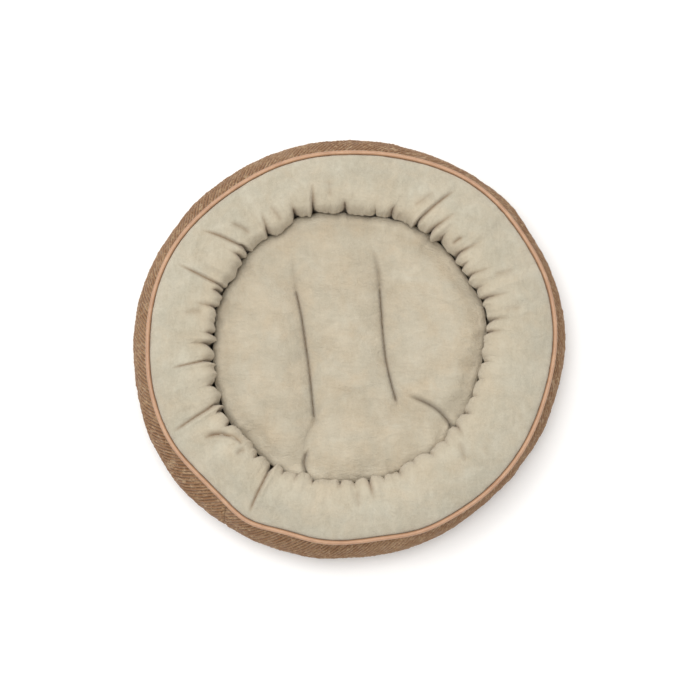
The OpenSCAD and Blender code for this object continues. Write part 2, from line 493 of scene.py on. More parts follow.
def tube(name, path, radius, sides=12, closed=False, twist=None, profile=None, attrs=None):
    """A tube along path (N, 3) in mm. profile(phi, i) may change the radius round the section."""
    path = np.asarray(path, float)
    n = len(path)
    t = (np.roll(path, -1, 0) - np.roll(path, 1, 0)) if closed else np.gradient(path, axis=0)
    t /= np.linalg.norm(t, axis=1, keepdims=True)
    up = np.tile([0.0, 0.0, 1.0], (n, 1))
    side = np.cross(t, up)
    side /= np.maximum(np.linalg.norm(side, axis=1, keepdims=True), 1e-9)
    up = np.cross(side, t)
    phi = np.arange(sides) * TAU / sides
    r = np.broadcast_to(np.asarray(radius, float).reshape(-1, 1), (n, sides)).copy()
    if profile is not None:
        r *= profile(phi[None, :], np.arange(n)[:, None])
    ang = phi[None, :] + (0 if twist is None else twist[:, None])
    p = path[:, None] + r[..., None] * (np.cos(ang)[..., None] * side[:, None] + np.sin(ang)[..., None] * up[:, None])
    verts = p.reshape(-1, 3)
    quads = grid_quads(n, sides, closed, True)
    tris = None
    if not closed:
        verts = np.concatenate([verts, path[:1], path[-1:]])
        k = np.arange(sides)
        tris = np.concatenate([
            np.stack([np.full(sides, n * sides), k, (k + 1) % sides], -1),
            np.stack([np.full(sides, n * sides + 1), (n - 1) * sides + (k + 1) % sides, (n - 1) * sides + k], -1)])
    return make_mesh(name, verts, quads, tris, attrs=attrs)


def stitches(name, centres, along, out, length, width, thick, jitter=0.0, seed=5):
    """Rows of single lockstitches: each a short fat thread that dips into the cloth at both ends."""
    centres, along, out = (np.asarray(a, float) for a in (centres, along, out))
    along = along / np.linalg.norm(along, axis=1, keepdims=True)
    side = np.cross(out, along)
    side /= np.linalg.norm(side, axis=1, keepdims=True)
    out = np.cross(along, side)
    rng = np.random.default_rng(seed)
    rings, k = 7, 6
    s = np.linspace(-0.5, 0.5, rings)
    fat = np.sqrt(np.clip(1 - (2 * s) ** 6, 0.04, 1))
    drop = -0.9 * thick * (2 * np.abs(s)) ** 3
    phi = np.arange(k) * TAU / k
    n = len(centres)
    jl = 1 + jitter * rng.uniform(-1, 1, n)
    js = jitter * width * rng.uniform(-1, 1, n)
    p = (centres[:, None, None]
         + (s[None, :, None] * (length * jl)[:, None, None])[..., None] * along[:, None, None]
         + ((np.cos(phi)[None, None] * width / 2 * fat[None, :, None]) + js[:, None, None])[..., None] * side[:, None, None]
         + ((np.sin(phi)[None, None] * thick / 2 * fat[None, :, None]) + drop[None, :, None] + thick * 0.3)[..., None] * out[:, None, None])
    per = rings * k + 2
    caps = np.stack([p[:, 0].mean(1), p[:, -1].mean(1)], 1)
    verts = np.concatenate([p.reshape(n, -1, 3), caps], 1).reshape(-1, 3)
    q = grid_quads(rings, k, False, True)
    kk = np.arange(k)
    t = np.concatenate([
        np.stack([np.full(k, rings * k), kk, (kk + 1) % k], -1),
        np.stack([np.full(k, rings * k + 1), (rings - 1) * k + (kk + 1) % k, (rings - 1) * k + kk], -1)])
    off = (np.arange(n) * per)[:, None, None]
    return make_mesh(name, verts, (q[None] + off).reshape(-1, 4), (t[None] + off).reshape(-1, 3))


# ------------------------------------------------------------------ material kit


class Mat:
    def __init__(self, name, color, rough=0.9, spec=0.2, sheen=0.0, sheen_rough=0.5, sheen_tint=None):
        self.m = bpy.data.materials.new(name)
        self.m.use_nodes = True
        self.nt = self.m.node_tree
        self.nt.nodes.clear()
        self.out = self.nt.nodes.new("ShaderNodeOutputMaterial")
        self.b = self.nt.nodes.new("ShaderNodeBsdfPrincipled")
        self.nt.links.new(self.b.outputs[0], self.out.inputs[0])
        self.b.inputs["Base Color"].default_value = (*color, 1)
        self.b.inputs["Roughness"].default_value = rough
        self.b.inputs["Specular IOR Level"].default_value = spec
        self.b.inputs["Sheen Weight"].default_value = sheen
        self.b.inputs["Sheen Roughness"].default_value = sheen_rough
        if sheen_tint:
            self.b.inputs["Sheen Tint"].default_value = (*sheen_tint, 1)

    def node(self, kind, **kw):
        n = self.nt.nodes.new(kind)
        for k, v in kw.items():
            setattr(n, k, v)
        return n

    def link(self, a, b):
        self.nt.links.new(a, b)

    def obj(self, scale=(1, 1, 1), rot=(0, 0, 0)):
        if not hasattr(self, "_tc"):
            self._tc = self.node("ShaderNodeTexCoord")
        mp = self.node("ShaderNodeMapping")
        mp.inputs["Scale"].default_value = scale
        mp.inputs["Rotation"].default_value = rot
        self.link(self._tc.outputs["Object"], mp.inputs["Vector"])
        return mp.outputs[0]

    def uv(self, scale=(1, 1, 1), rot=(0, 0, 0)):
        if not hasattr(self, "_uv"):
            self._uv = self.node("ShaderNodeUVMap", uv_map="map")
        mp = self.node("ShaderNodeMapping")
        mp.inputs["Scale"].default_value = scale
        mp.inputs["Rotation"].default_value = rot
        self.link(self._uv.outputs[0], mp.inputs["Vector"])
        return mp.outputs[0]

    def noise(self, vec, scale, detail=3, rough=0.55, distortion=0.0):
        n = self.node("ShaderNodeTexNoise")
        n.inputs["Scale"].default_value = scale
        n.inputs["Detail"].default_value = detail
        n.inputs["Roughness"].default_value = rough
        n.inputs["Distortion"].default_value = distortion
        self.link(vec, n.inputs["Vector"])
        return n.outputs["Fac"]

    def attr(self, name):
        n = self.node("ShaderNodeAttribute", attribute_name=name)
        return n.outputs["Fac"]

    def math(self, op, a, b=None, clamp=False):
        n = self.node("ShaderNodeMath", operation=op, use_clamp=clamp)
        for i, v in enumerate((a, b)):
            if v is None:
                continue
            if isinstance(v, (int, float)):
                n.inputs[i].default_value = v
            else:
                self.link(v, n.inputs[i])
        return n.outputs[0]

    def remap(self, v, a, b, c=0.0, d=1.0):
        n = self.node("ShaderNodeMapRange", clamp=True)
        n.inputs["From Min"].default_value, n.inputs["From Max"].default_value = a, b
        n.inputs["To Min"].default_value, n.inputs["To Max"].default_value = c, d
        self.link(v, n.inputs["Value"])
        return n.outputs[0]

    def mix(self, fac, a, b, mode="MIX"):
        n = self.node("ShaderNodeMix", data_type="RGBA", blend_type=mode)
        n.clamp_factor = True
        for i, v in ((0, fac), (6, a), (7, b)):
            if isinstance(v, (int, float)):
                n.inputs[i].default_value = v
            elif isinstance(v, tuple):
                n.inputs[i].default_value = (*v, 1)
            else:
                self.link(v, n.inputs[i])
        return n.outputs[2]

    def color(self, c):
        self.link(c, self.b.inputs["Base Color"])

    def rough(self, v):
        self.link(v, self.b.inputs["Roughness"])

    def bump(self, height, strength, dist, normal=None):
        n = self.node("ShaderNodeBump")
        n.inputs["Strength"].default_value = strength
        n.inputs["Distance"].default_value = dist
        self.link(height, n.inputs["Height"])
        if normal is not None:
            self.link(normal, n.inputs["Normal"])
        return n.outputs[0]

    def normal(self, v):
        self.link(v, self.b.inputs["Normal"])

    def on(self, *objs):
        for o in objs:
            o.data.materials.clear()
            o.data.materials.append(self.m)
        return self


def srgb(r, g, b):
    return tuple(((c / 255) / 12.92 if c / 255 <= 0.04045 else ((c / 255 + 0.055) / 1.055) ** 2.4) for c in (r, g, b))

# ------------------------------------------------------------------ outlines of the bed, from above
# The real ring isn't a true circle: it is a stuffed tube that sags and bulges a little, so each outline is a closed curve
# through hand-set radii, every 10 degrees from +X.
TENS = list(range(0, 360, 10))
belly_r = periodic(TENS, [249, 250.5, 249.5, 249.5, 251, 249.5, 246.5, 245.5, 245, 244.5, 245, 245.5, 246.5, 247.5, 248.5, 249, 250.5, 251,
                          250.5, 251, 252.5, 253, 252.5, 249.5, 248, 245.5, 244, 240.5, 239.5, 239, 238.5, 236.5, 238, 240, 242.5, 245])
rim_deg = TENS[:24] + [235] + TENS[24:25] + [245] + TENS[25:]
rim_val = [231.5, 233.5, 234, 232.5, 232.5, 232, 229, 224.5, 221.5, 220, 220.5, 221, 221, 222.5, 225.5, 228.5, 229.5, 229, 228.5, 229.5, 230, 229,
           225, 225, 227.5, 229, 226.5, 223.5, 223.5, 222, 220.5, 224, 224.5, 225.5, 226.5, 227, 227, 228.5]
rim_r = periodic(rim_deg, rim_val)
well_r = periodic(TENS, [153, 156.5, 157, 155, 155.5, 154.5, 156, 153.5, 150, 151.5, 154, 156.5, 153.5, 154, 156, 154, 155, 154,
                         155, 156.5, 157, 160, 155.5, 157.5, 160, 154, 152, 151.5, 150, 150, 147.5, 147.5, 147, 148.5, 147.5, 149])


def rim_z(th):
    return RIM_Z + 0.9 * vnoise(2.2 * np.cos(th), 2.2 * np.sin(th), 0.3, 11) + 0.3 * vnoise(9 * np.cos(th), 9 * np.sin(th), 0.3, 12)


def base_edge(th):
    return BASE_R + 1.0 * vnoise(3 * np.cos(th), 3 * np.sin(th), 0.7, 13)


# ------------------------------------------------------------------ bolster: plush cover with its gathers
# Gathers at the edge of the well: (angle, angle where the crease fades, length outwards, depth at the edge, half width).
# A length is measured outwards from the edge of the well, in millimetres.
GATHERS = [
    (5.3, 4.6, 24, 5.0, 1.5), (10.0, 9.0, 30, 3.6, 1.4), (19.0, 17.6, 32, 5.0, 1.8), (24.0, 23.0, 12, 3.4, 2.6), (30.0, 27.9, 30, 3.6, 1.8),
    (35.1, 34.6, 12, 4.0, 1.7), (40.1, 37.6, 34, 5.4, 1.7), (49.7, 49.0, 12, 3.6, 1.7), (54.7, 50.6, 38, 6.0, 1.9), (61.3, 55.6, 54, 6.6, 1.9),
    (72.4, 71.6, 17, 5.4, 1.8), (79.0, 79.6, 10, 1.8, 1.6), (92.1, 92.4, 14, 5.4, 1.8), (105.3, 102.8, 38, 6.4, 1.7), (112.4, 112.8, 20, 5.6, 1.9),
    (126.1, 123.6, 32, 5.0, 1.8), (137.3, 142.4, 60, 6.4, 1.8), (140.9, 142.6, 22, 6.0, 1.6), (155.6, 155.0, 60, 5.6, 1.7),
    (157.6, 158.6, 12, 8.0, 1.6), (164.3, 165.4, 30, 4.6, 1.7), (175.4, 175.8, 14, 6.2, 1.7), (179.5, 179.8, 28, 4.2, 1.5), (186.5, 188.0, 46, 6.0, 1.6),
    (196.1, 196.6, 13, 3.4, 1.6), (204.4, 206.6, 66, 7.2, 1.9), (206.6, 207.6, 9, 8.0, 1.6), (213.1, 213.8, 12, 5.6, 1.8), 
    (230.5, 230.0, 10, 3.4, 1.6), (237.4, 239.2, 66, 7.8, 1.9), (242.4, 242.6, 11, 3.6, 1.6), (247.8, 248.0, 20, 2.6, 1.8), (254.7, 254.9, 16, 4.0, 1.7),
    (266.0, 266.1, 16, 3.6, 1.7), (271.8, 272.4, 18, 2.0, 1.9), (277.8, 279.0, 32, 5.2, 1.8), (284.5, 284.0, 12, 1.6, 1.8), (291.0, 291.6, 12, 2.4, 1.8),
    (298.5, 299.2, 16, 1.4, 2.4), (306.6, 307.2, 15, 2.6, 2.0), (314.5, 314.0, 14, 1.6, 2.4), (322.8, 319.4, 22, 4.2, 2.0), (329.7, 330.6, 12, 3.2, 1.8), (337.5, 338.4, 14, 1.6, 2.2),
    (345.0, 346.0, 16, 1.6, 2.2), (353.0, 352.4, 12, 2.6, 1.8)]
# Folds that lie on the bolster without reaching its edge: (points as (angle, distance out from the edge), depth, half width).
FOLDS = [
    ([(44.3, 3), (44.1, 10), (43.4, 19)], 3.0, 1.8),
    ([(119.2, 4), (119.5, 16), (120.4, 30)], 1.8, 2.6),
    ([(132.0, 10), (132.8, 24), (134.8, 40)], 2.2, 2.4),
    ([(213.2, 39), (213.6, 28), (215.2, 18), (218.6, 10), (222.2, 9), (223.4, 14)], 5.2, 2.2),
    ([(226.0, 9), (224.6, 16), (224.9, 24)], 2.0, 2.6),
    ([(98.0, 12), (97.4, 28), (97.6, 40)], 1.5, 3.0),
    ([(167.5, 12), (168.5, 26), (170.0, 36)], 1.5, 3.0),
    ([(12.5, 18), (12.0, 30), (12.2, 40)], 1.3, 3.4),
    ([(26.0, 20), (24.6, 34), (24.2, 46)], 1.5, 3.4),
    ([(65.5, 14), (62.6, 30), (61.0, 42)], 1.7, 3.0),
    ([(272.4, 10), (272.9, 24), (273.2, 36)], 1.4, 3.0),
    ([(318.4, 14), (316.0, 24), (314.5, 36)], 1.5, 3.2),
]

NU, NV = 1320, 112
th_u = np.arange(NU) * TAU / NU


def bolster_base(th, nv):
    """Smooth surface of the plush before its gathers: (len(th), nv, 2) of radius and height, and the knots."""
    rp, rw, rz = rim_r(th), well_r(th), rim_z(th) - RIM_Z
    w = rp - rw
    cz = 0.8 * vnoise(2.6 * np.cos(th), 2.6 * np.sin(th), 0.2, 21)
    top = CREST_Z - 1.6
    foot = 161.4
    ctrl = [
        (rp - 3.0, 88.0 + rz), (rp - 2.75, 95.2 + rz), (rp - 3.5, 99.9 + rz), (rp - 7.6, 104.6 + rz), (rp - 18.5, 110.3 + rz * 0.6 + cz * 0.5),
        (rp - 0.45 * w, top - 0.6 + cz), (rw + 0.38 * w, top - 0.4 + cz), (rw + 0.22 * w, top - 2.2 + cz * 0.8), (rw + 0.1 * w, top - 6.2), (rw + 0.03 * w, 101.5),
        (rw + 0.4, 89.0), (rw + 0.6, 77.5), (rw + 3.6, 66.0), (rw + 4.8, 52.0), (rw * 0.66 + foot * 0.34 + 3.6, 37.0), (rw * 0.3 + foot * 0.7 + 1.6, 22.0), (foot + 0.6 + 0 * rw, 11.0), (foot + 1.3 + 0 * rw, 5.4), (foot + 4.4 + 0 * rw, 3.75), (foot + 10.2 + 0 * rw, 3.6)]
    c = np.stack([np.stack([r, np.broadcast_to(z, r.shape)], -1) for r, z in ctrl])          # (K, U, 2)
    mean = c.mean(1)
    knots = np.concatenate([[0], np.cumsum(np.linalg.norm(np.diff(mean, axis=0), axis=1))])
    t = np.linspace(0, knots[-1], nv)
    return np.moveaxis(spline_rows(c, knots, t), 0, 1), t


rz_b, t_rows = bolster_base(th_u, NV)
TH = np.broadcast_to(th_u[:, None], (NU, NV))
base_p = polar(rz_b[..., 0], TH, rz_b[..., 1])
base_n = grid_normals(base_p, True)
if (base_n[:, NV // 3, 2]).mean() < 0:
    base_n = -base_n
mean_r, mean_z = rz_b[..., 0].mean(0), rz_b[..., 1].mean(0)
row_edge = int(np.argmin(np.abs(mean_z - 86) + 200 * (mean_r > 175)))
out_mm = np.where(np.arange(NV) <= row_edge, mean_r - mean_r[row_edge], 0.0)                     # outwards from the well's edge
down_mm = np.where(np.arange(NV) > row_edge, t_rows - t_rows[row_edge], 0.0)                     # down the wall of the well
WIDE = out_mm.max()


def bolster_folds(th, radius):
    """Height of the gathers over the smooth surface, and how deep in a crease each point lies."""
    h = np.zeros(TH.shape)
    crease = np.zeros(TH.shape)
    rng = np.random.default_rng(41)
    amp_rand = rng.uniform(0.85, 1.15, len(GATHERS))
    deep = np.array([g[3] for g in GATHERS])
    for j in range(NV):
        p, dn = out_mm[j], down_mm[j]
        low = 1.0 - 0.7 * smooth01(6, 40, dn) if dn > 0 else 1.0
        drift = min(max(p, 0) / 30.0, 2.0)
        ang = np.radians([g[0] + (g[1] - g[0]) * min(max(p, 0) / g[2], 1.2) for g in GATHERS])
        order = np.argsort(ang)
        a = ang[order]
        nxt = np.roll(a, -1).copy()
        nxt[-1] += TAU
        i = np.searchsorted(a, th, side="right") - 1
        tt = np.where(i < 0, th + TAU, th)
        i = np.where(i < 0, len(a) - 1, i)
        width = nxt[i] - a[i]
        t = np.clip((tt - a[i]) / width, 0, 1)
        wide_mm = width * 155.0
        amp = np.minimum(0.25 * wide_mm, 5.0) * amp_rand[order][i] * np.clip((deep[order][i] + deep[order][(i + 1) % len(a)]) / 10.0, 0.2, 1.0)
        e = 1 - np.abs(2 * t - 1) ** 2.5
        sharp = np.power(np.clip(e, 0, 1), 0.6)
        soft = np.sin(math.pi * t) ** 2
        q = smooth01(1, 16, p)
        env = low * (0.8 * math.exp(-(max(p, 0) / 11.0) ** 1.2) + 0.2 * math.exp(-(max(p, 0) / 30.0) ** 1.5))
        h[:, j] += env * amp * ((1 - q) * sharp + q * soft - 1)
        # creases that run out from the pinches
        for k, g in enumerate(GATHERS):
            length, depth, half = g[2], g[3], g[4]
            if p >= length:
                continue
            f = max(p, 0) / length
            if length > 40:
                fade = (1 - f**3.4) * (0.72 + 0.28 * (1 - f) ** 3) * low
            elif length > 27:
                fade = ((1 - f**1.8) ** 1.2 * 0.8 + 0.2 * (1 - f) ** 4) * low
            else:
                fade = (1 - f) ** 1.5 * low
            x = (np.mod(th - ang[k] + math.pi, TAU) - math.pi) * radius[:, j]
            near = np.abs(x) < 26
            long = length > 27
            w = half * (1 + 0.2 * f) * (0.7 if length > 40 else 0.85) if long else half * (1 + 0.9 * f)
            xa = np.abs(x[near])
            lip = 1 if k % 2 else -1
            d = depth * (0.84 if long else 0.68) * fade * np.exp(-(xa / w) ** (1.0 if long else 1.15))
            up = depth * (0.42 if long else 0.22) * fade * np.exp(-(((x[near] * lip) - 3.0 * w) / (2.0 * w)) ** 2)
            h[near, j] += up - d
            crease[near, j] = np.maximum(crease[near, j], np.clip(fade * depth / (3.0 if length > 40 else 5), 0, 1) * np.exp(-xa / ((1.2 if length > 40 else 1.5) * w)))
    # folds that lie loose on top
    for pts, depth, half in FOLDS:
        path = smooth_path([(math.radians(a) * 175.0, d) for a, d in pts])
        x = np.where(np.abs(TH * 175.0 - path[:, 0].mean()) < 120, TH * 175.0, 1e6)
        y = np.broadcast_to(out_mm[None, :], TH.shape)
        dist, side, along = path_dist(x, y, path)
        fade = np.clip(np.sin(math.pi * np.clip(along, 0.02, 0.98)) * 1.5, 0, 1)
        live = (np.arange(NV) <= row_edge)[None, :]
        h += np.where(live, fade * depth * (-np.exp(-(dist / half) ** 1.1) + 0.5 * np.exp(-((dist * side - 2.6 * half) / (1.8 * half)) ** 2)), 0)
        crease[:] = np.maximum(crease, np.where(live, fade * np.clip(depth / 4, 0, 1) * np.exp(-dist / (1.4 * half)), 0))
    return h, crease


fold_h, crease_b = bolster_folds(th_u, rz_b[..., 0])
cx, sx = np.cos(TH), np.sin(TH)
near_edge = np.exp(-(np.clip(out_mm, 0, None) / 30.0) ** 1.2)[None, :]
calm = 1 - 0.45 * (smooth01(math.radians(282), math.radians(300), TH) * (1 - smooth01(math.radians(345), math.radians(358), TH)))
s_mm = np.broadcast_to(t_rows[None, :], TH.shape)
streak = fbm(cx * 155 / 8.0, sx * 155 / 8.0, s_mm / 46.0, 51, 3)
streak2 = fbm(cx * 155 / 3.6, sx * 155 / 3.6, s_mm / 24.0, 57, 2)
broad = fbm(cx * 190 / 34.0, sx * 190 / 34.0, s_mm / 44.0, 61, 2)
ridges = vnoise(cx * 190 / 17.0, sx * 190 / 17.0, s_mm / 90.0, 66) * smooth01(WIDE - 4, WIDE - 30, np.broadcast_to(out_mm[None, :], TH.shape))
ridges2 = vnoise(cx * 190 / 8.5, sx * 190 / 8.5, s_mm / 52.0, 68) * smooth01(WIDE - 4, WIDE - 26, np.broadcast_to(out_mm[None, :], TH.shape))
h_b = fold_h + calm * ((0.7 + 1.2 * near_edge) * streak + 0.75 * near_edge * streak2 + 2.4 * ridges + 0.9 * ridges2) + 2.6 * broad * smooth01(WIDE, WIDE - 22, np.broadcast_to(out_mm[None, :], TH.shape))
# the sewn edges stay where the seams hold them
hold = smooth01(6, 20, s_mm) * smooth01(t_rows[-1] - 4, t_rows[-1] - 22, s_mm)
pucker = 0.5 * vnoise(cx * 224 / 6.5, sx * 224 / 6.5, 0.5, 63) * np.exp(-((s_mm - 17) / 9.0) ** 2)
h_b = np.where(base_p[..., 2] < 70, np.minimum(h_b, 0.4), h_b)
h_b = (h_b - 0.6 * near_edge) * hold + pucker
bol_p = base_p + base_n * h_b[..., None]
bol_p[..., 2] = np.maximum(bol_p[..., 2], FLOOR_Z + 0.15)


def shell(name, outer, normals, thick, step, uvs=None, attrs=None):
    """Closed cloth: the outer grid (U closed) and an inner face that lies thick below it."""
    nv = outer.shape[1]
    rows = list(range(nv - 1, -1, -step))
    if rows[-1] != 0:
        rows.append(0)
    inner = outer[:, rows] - normals[:, rows] * thick
    p = np.concatenate([outer, inner], 1)
    full = {k: np.concatenate([v, v[:, rows]], 1) for k, v in (attrs or {}).items()}
    uv = None
    if uvs is not None:
        us, vs = uvs
        vs = np.concatenate([vs, vs[rows], vs[:1]])
        uv = grid_uv(p.shape[0], p.shape[1], True, True, us, vs)
    return make_mesh(name, p, grid_quads(p.shape[0], p.shape[1], True, True), uv=uv, attrs=full)


bolster = shell("bolster_plush", bol_p, base_n, 2.2, 5, attrs={"crease": crease_b, "edge": np.broadcast_to(near_edge, TH.shape)})

# narrowest outline of the well, for the cushion
wall_rows = (bol_p[..., 2] > 12) & (bol_p[..., 2] < 63)
r_all = np.where(wall_rows, np.hypot(bol_p[..., 0], bol_p[..., 1]), 1e3).min(1)
win = int(NU * 2.0 / 360)
r_in = np.min([np.roll(r_all, k) for k in range(-win, win + 1)], 0)
r_in = np.max([np.roll(r_in, k) for k in range(-win, win + 1)], 0)          # follows the lobes, not the pinches between them
for _ in range(6):
    r_in = np.minimum(0.25 * np.roll(r_in, 1) + 0.5 * r_in + 0.25 * np.roll(r_in, -1), r_all)


def cushion_edge(th):
    t = np.mod(th, TAU)
    return np.interp(t, np.append(th_u, TAU), np.append(r_in, r_in[0])) - 0.6

# ------------------------------------------------------------------ side band: coarse diagonal rib
RIBS, PER = 296, 6
NC, NR = RIBS * PER, 54
JOIN = math.radians(234.0)
BAND_TOP = RIM_Z - PIPE_R + 0.3


def join_at(s):
    """Angle of the join; it slants a little against the rib."""
    return JOIN + math.radians(2.4) * (0.62 - s) / 0.5


def band_point(th, s, extra=0.0):
    """Radius and height on the band; s runs from 0 at the base seam to 1 at the piping."""
    z0 = 1.5
    z = z0 + (BAND_TOP + (rim_z(th) - RIM_Z) - z0) * s
    rb, rp = base_edge(th) + 0.2, rim_r(th) - 0.7
    bulge = belly_r(th) - 1.1 - (rb + rp) / 2
    r = rb + s * (rp - rb) + bulge * np.sin(math.pi * np.power(np.clip(s, 0, 1), 0.85))
    hang = np.sin(math.pi * s)
    c, q = np.cos(th), np.sin(th)
    r = r + 1.3 * hang * fbm(c * 250 / 34, q * 250 / 34, z / 70, 71, 2)
    r = r + 0.8 * vnoise(c * 250 / 8, q * 250 / 8, z / 60, 73) * (np.exp(-s / 0.09) * smooth01(0, 0.03, s) + 0.7 * np.exp(-(1 - s) / 0.07) * smooth01(1, 0.97, s))
    # seam where the two ends of the cloth meet: a narrow groove with a little pull on both sides
    x = (np.mod(th - join_at(s) + math.pi, TAU) - math.pi) * 248
    r = r - hang**0.4 * (1.5 * np.exp(-(np.abs(x) / 1.5) ** 1.4) + 0.7 * np.exp(-(x / 11) ** 2)) + 0.5 * hang * np.exp(-((np.abs(x) - 5.5) / 3.0) ** 2)
    return r + extra, z


s_rows = np.linspace(0, 1, NR)
arc = 121.0 * s_rows
col = np.arange(NC)
lean = 1.0 / 250.0 * 0.53
TC = (JOIN + col[:, None] * TAU / NC) + lean * arc[None, :]
SR = np.broadcast_to(s_rows[None, :], TC.shape)
ph = (col % PER) / PER
rib = np.power(0.5 - 0.5 * np.cos(TAU * ph), 0.6)[:, None]
x_join = (np.mod(TC - join_at(SR) + math.pi, TAU) - math.pi) * 248
flat = np.clip(np.abs(x_join) / 3.0, 0.25, 1)
yarn = fbm(np.cos(TC) * 250 / 2.6, np.sin(TC) * 250 / 2.6, arc[None, :] / 2.6, 81, 2)
rough_rib = 1.0 + 0.75 * vnoise(np.cos(TC) * 250 / 7, np.sin(TC) * 250 / 7, arc[None, :] / 9, 83)
rib_h = (rib - 0.6) * 1.7 * flat * rough_rib + 0.42 * yarn
r_band, z_band = band_point(TC, SR)
band_p = polar(r_band, TC, z_band)
band_n = grid_normals(band_p, True)
if (band_n * polar(np.ones_like(TC), TC, 0)).sum(-1).mean() < 0:
    band_n = -band_n
ends = smooth01(0, 0.02, SR) * smooth01(1, 0.975, SR)
band_o = band_p + band_n * (rib_h * (0.3 + 0.7 * ends))[..., None]
us = np.arange(NC + 1) * (TAU * 250 / NC) * MM
vs = arc * MM
side_band = shell("ribbed_side_band", band_o, band_n, 1.5, 6, uvs=(us, vs), attrs={"rib": np.broadcast_to(rib, TC.shape)})

# join seam: the two turned edges meet in a fine ridge down in the groove
n_j = 160
s_j = np.linspace(0.015, 0.985, n_j)
th_j = join_at(s_j)
r_j, z_j = band_point(th_j, s_j)
join_path = polar(r_j + 0.15, th_j + 0.0006 * vnoise(s_j * 30, 0, 0, 5), z_j)
join_seam = tube("band_join_ridge", join_path, 0.62, 8, profile=lambda phi, i: 1 + 0.22 * np.sin(TAU * i / 5.0) + 0 * phi)

# ------------------------------------------------------------------ piping round the rim
n_p = 1080
th_p = np.arange(n_p) * TAU / n_p
pipe_path = polar(rim_r(th_p), th_p, rim_z(th_p))
x_over = np.abs((np.mod(th_p - math.radians(243) + math.pi, TAU) - math.pi) * 226)
over = 0.07 * smooth01(7.5, 6.0, x_over)


def pipe_profile(phi, i):
    t = th_p[i]
    fold = vnoise(t * 226 / 2.4 + phi * 0.9, np.cos(phi) * 1.5, np.sin(phi) * 1.5, 91)
    slow = vnoise(t * 226 / 16.0, np.cos(phi), np.sin(phi), 92)
    ease = np.clip(np.minimum(t, TAU - t) * 226 / 6, 0, 1)
    return 1 + (0.022 * fold + 0.03 * slow) * ease + over[i]


piping = tube("rim_piping", pipe_path, PIPE_R * 0.93, 16, closed=True, profile=pipe_profile)
# its flat tape, sewn in between band and plush
tape = polar(np.stack([rim_r(th_p) - 2.25, rim_r(th_p) - 2.65, rim_r(th_p) - 2.75, rim_r(th_p) - 2.35], 1), np.stack([th_p] * 4, 1),
             np.stack([rim_z(th_p) - 1.6, rim_z(th_p) - 1.6, rim_z(th_p) - 10, rim_z(th_p) - 10], 1))
tape = make_mesh("tape_part", tape, grid_quads(n_p, 4, True, True))

twist_turns = 172
n_c = 1548
th_c = np.arange(n_c) * TAU / n_c
cord_core = tube("piping_cord", polar(rim_r(th_c), th_c, rim_z(th_c)), CORD_R * 0.97, 12, closed=True,
                 twist=th_c * twist_turns, profile=lambda phi, i: 0.88 + 0.12 * np.abs(np.cos(1.5 * phi)))

# ------------------------------------------------------------------ cushion
TURN = math.radians(8.2)
NG, UP = 96, 3


def disc_grid(n):
    """Square grid wrapped onto a unit disc, turned with the channels; returns angle and share of the radius."""
    a = np.linspace(-1, 1, n)
    u, v = np.meshgrid(a, a, indexing="ij")
    x, y = u * np.sqrt(1 - v * v / 2), v * np.sqrt(1 - u * u / 2)
    rho = np.clip(np.hypot(x, y), 0, 1)
    k = np.clip(rho - 0.75, 0, 0.25)
    rad = np.where(rho < 0.75, 1.12 * rho, 0.84 + 1.12 * k - 1.92 * k * k)
    return np.arctan2(y, x) + TURN, rad


def cushion_layer(n, top):
    ang, rad = disc_grid(n)
    r = rad * cushion_edge(ang)
    h = np.power(np.clip(1 - rad**40, 0, 1), 0.19)
    z = CUSH_MID + (CUSH_TOP - CUSH_MID) * h if top else CUSH_MID - (CUSH_MID - CUSH_BOT) * h
    return polar(r, ang, z), rad


# channels and creases as seen from above, in millimetres
LEFT = smooth_path([(-63.0, 68.0), (-56.2, 38.0), (-51.5, 8.0), (-47.2, -22.0), (-43.8, -54.0), (-40.6, -84.5)], 40)
RIGHT = smooth_path([(34.0, 71.5), (35.4, 50.0), (38.0, 14.0), (42.0, -18.0), (47.4, -42.0), (54.0, -65.0)], 40)
LEFT_UP = smooth_path([(-67.0, 124.0), (-66.6, 104.0), (-65.6, 86.0), (-63.0, 68.0)])
RIGHT_UP = smooth_path([(22.0, 125.0), (27.0, 108.0), (31.5, 92.0), (34.0, 71.5)])
CREASE_R = smooth_path([(57.5, -55.5), (70.0, -58.0), (84.0, -63.5), (98.0, -71.5), (110.0, -83.5), (117.5, -94.5)])
ARCH = smooth_path([(-40.6, -84.5), (-46.5, -96.0), (-50.5, -108.0), (-52.0, -120.0)])
SLIT = smooth_path([(-46.5, -114.0), (-50.5, -124.0), (-52.5, -134.0), (-50.5, -148.0)])
DIMPLE = smooth_path([(-6.0, -58.5), (14.0, -60.0), (38.0, -57.0)])


def calm_wrinkles(m, rounds=9):
    """Thick plush shows only the broad part of the movement."""
    for _ in range(rounds):
        q = np.pad(m, ((1, 1), (1, 1), (0, 0)), mode="edge")
        m = 0.5 * m + 0.125 * (q[:-2, 1:-1] + q[2:, 1:-1] + q[1:-1, :-2] + q[1:-1, 2:])
    return m


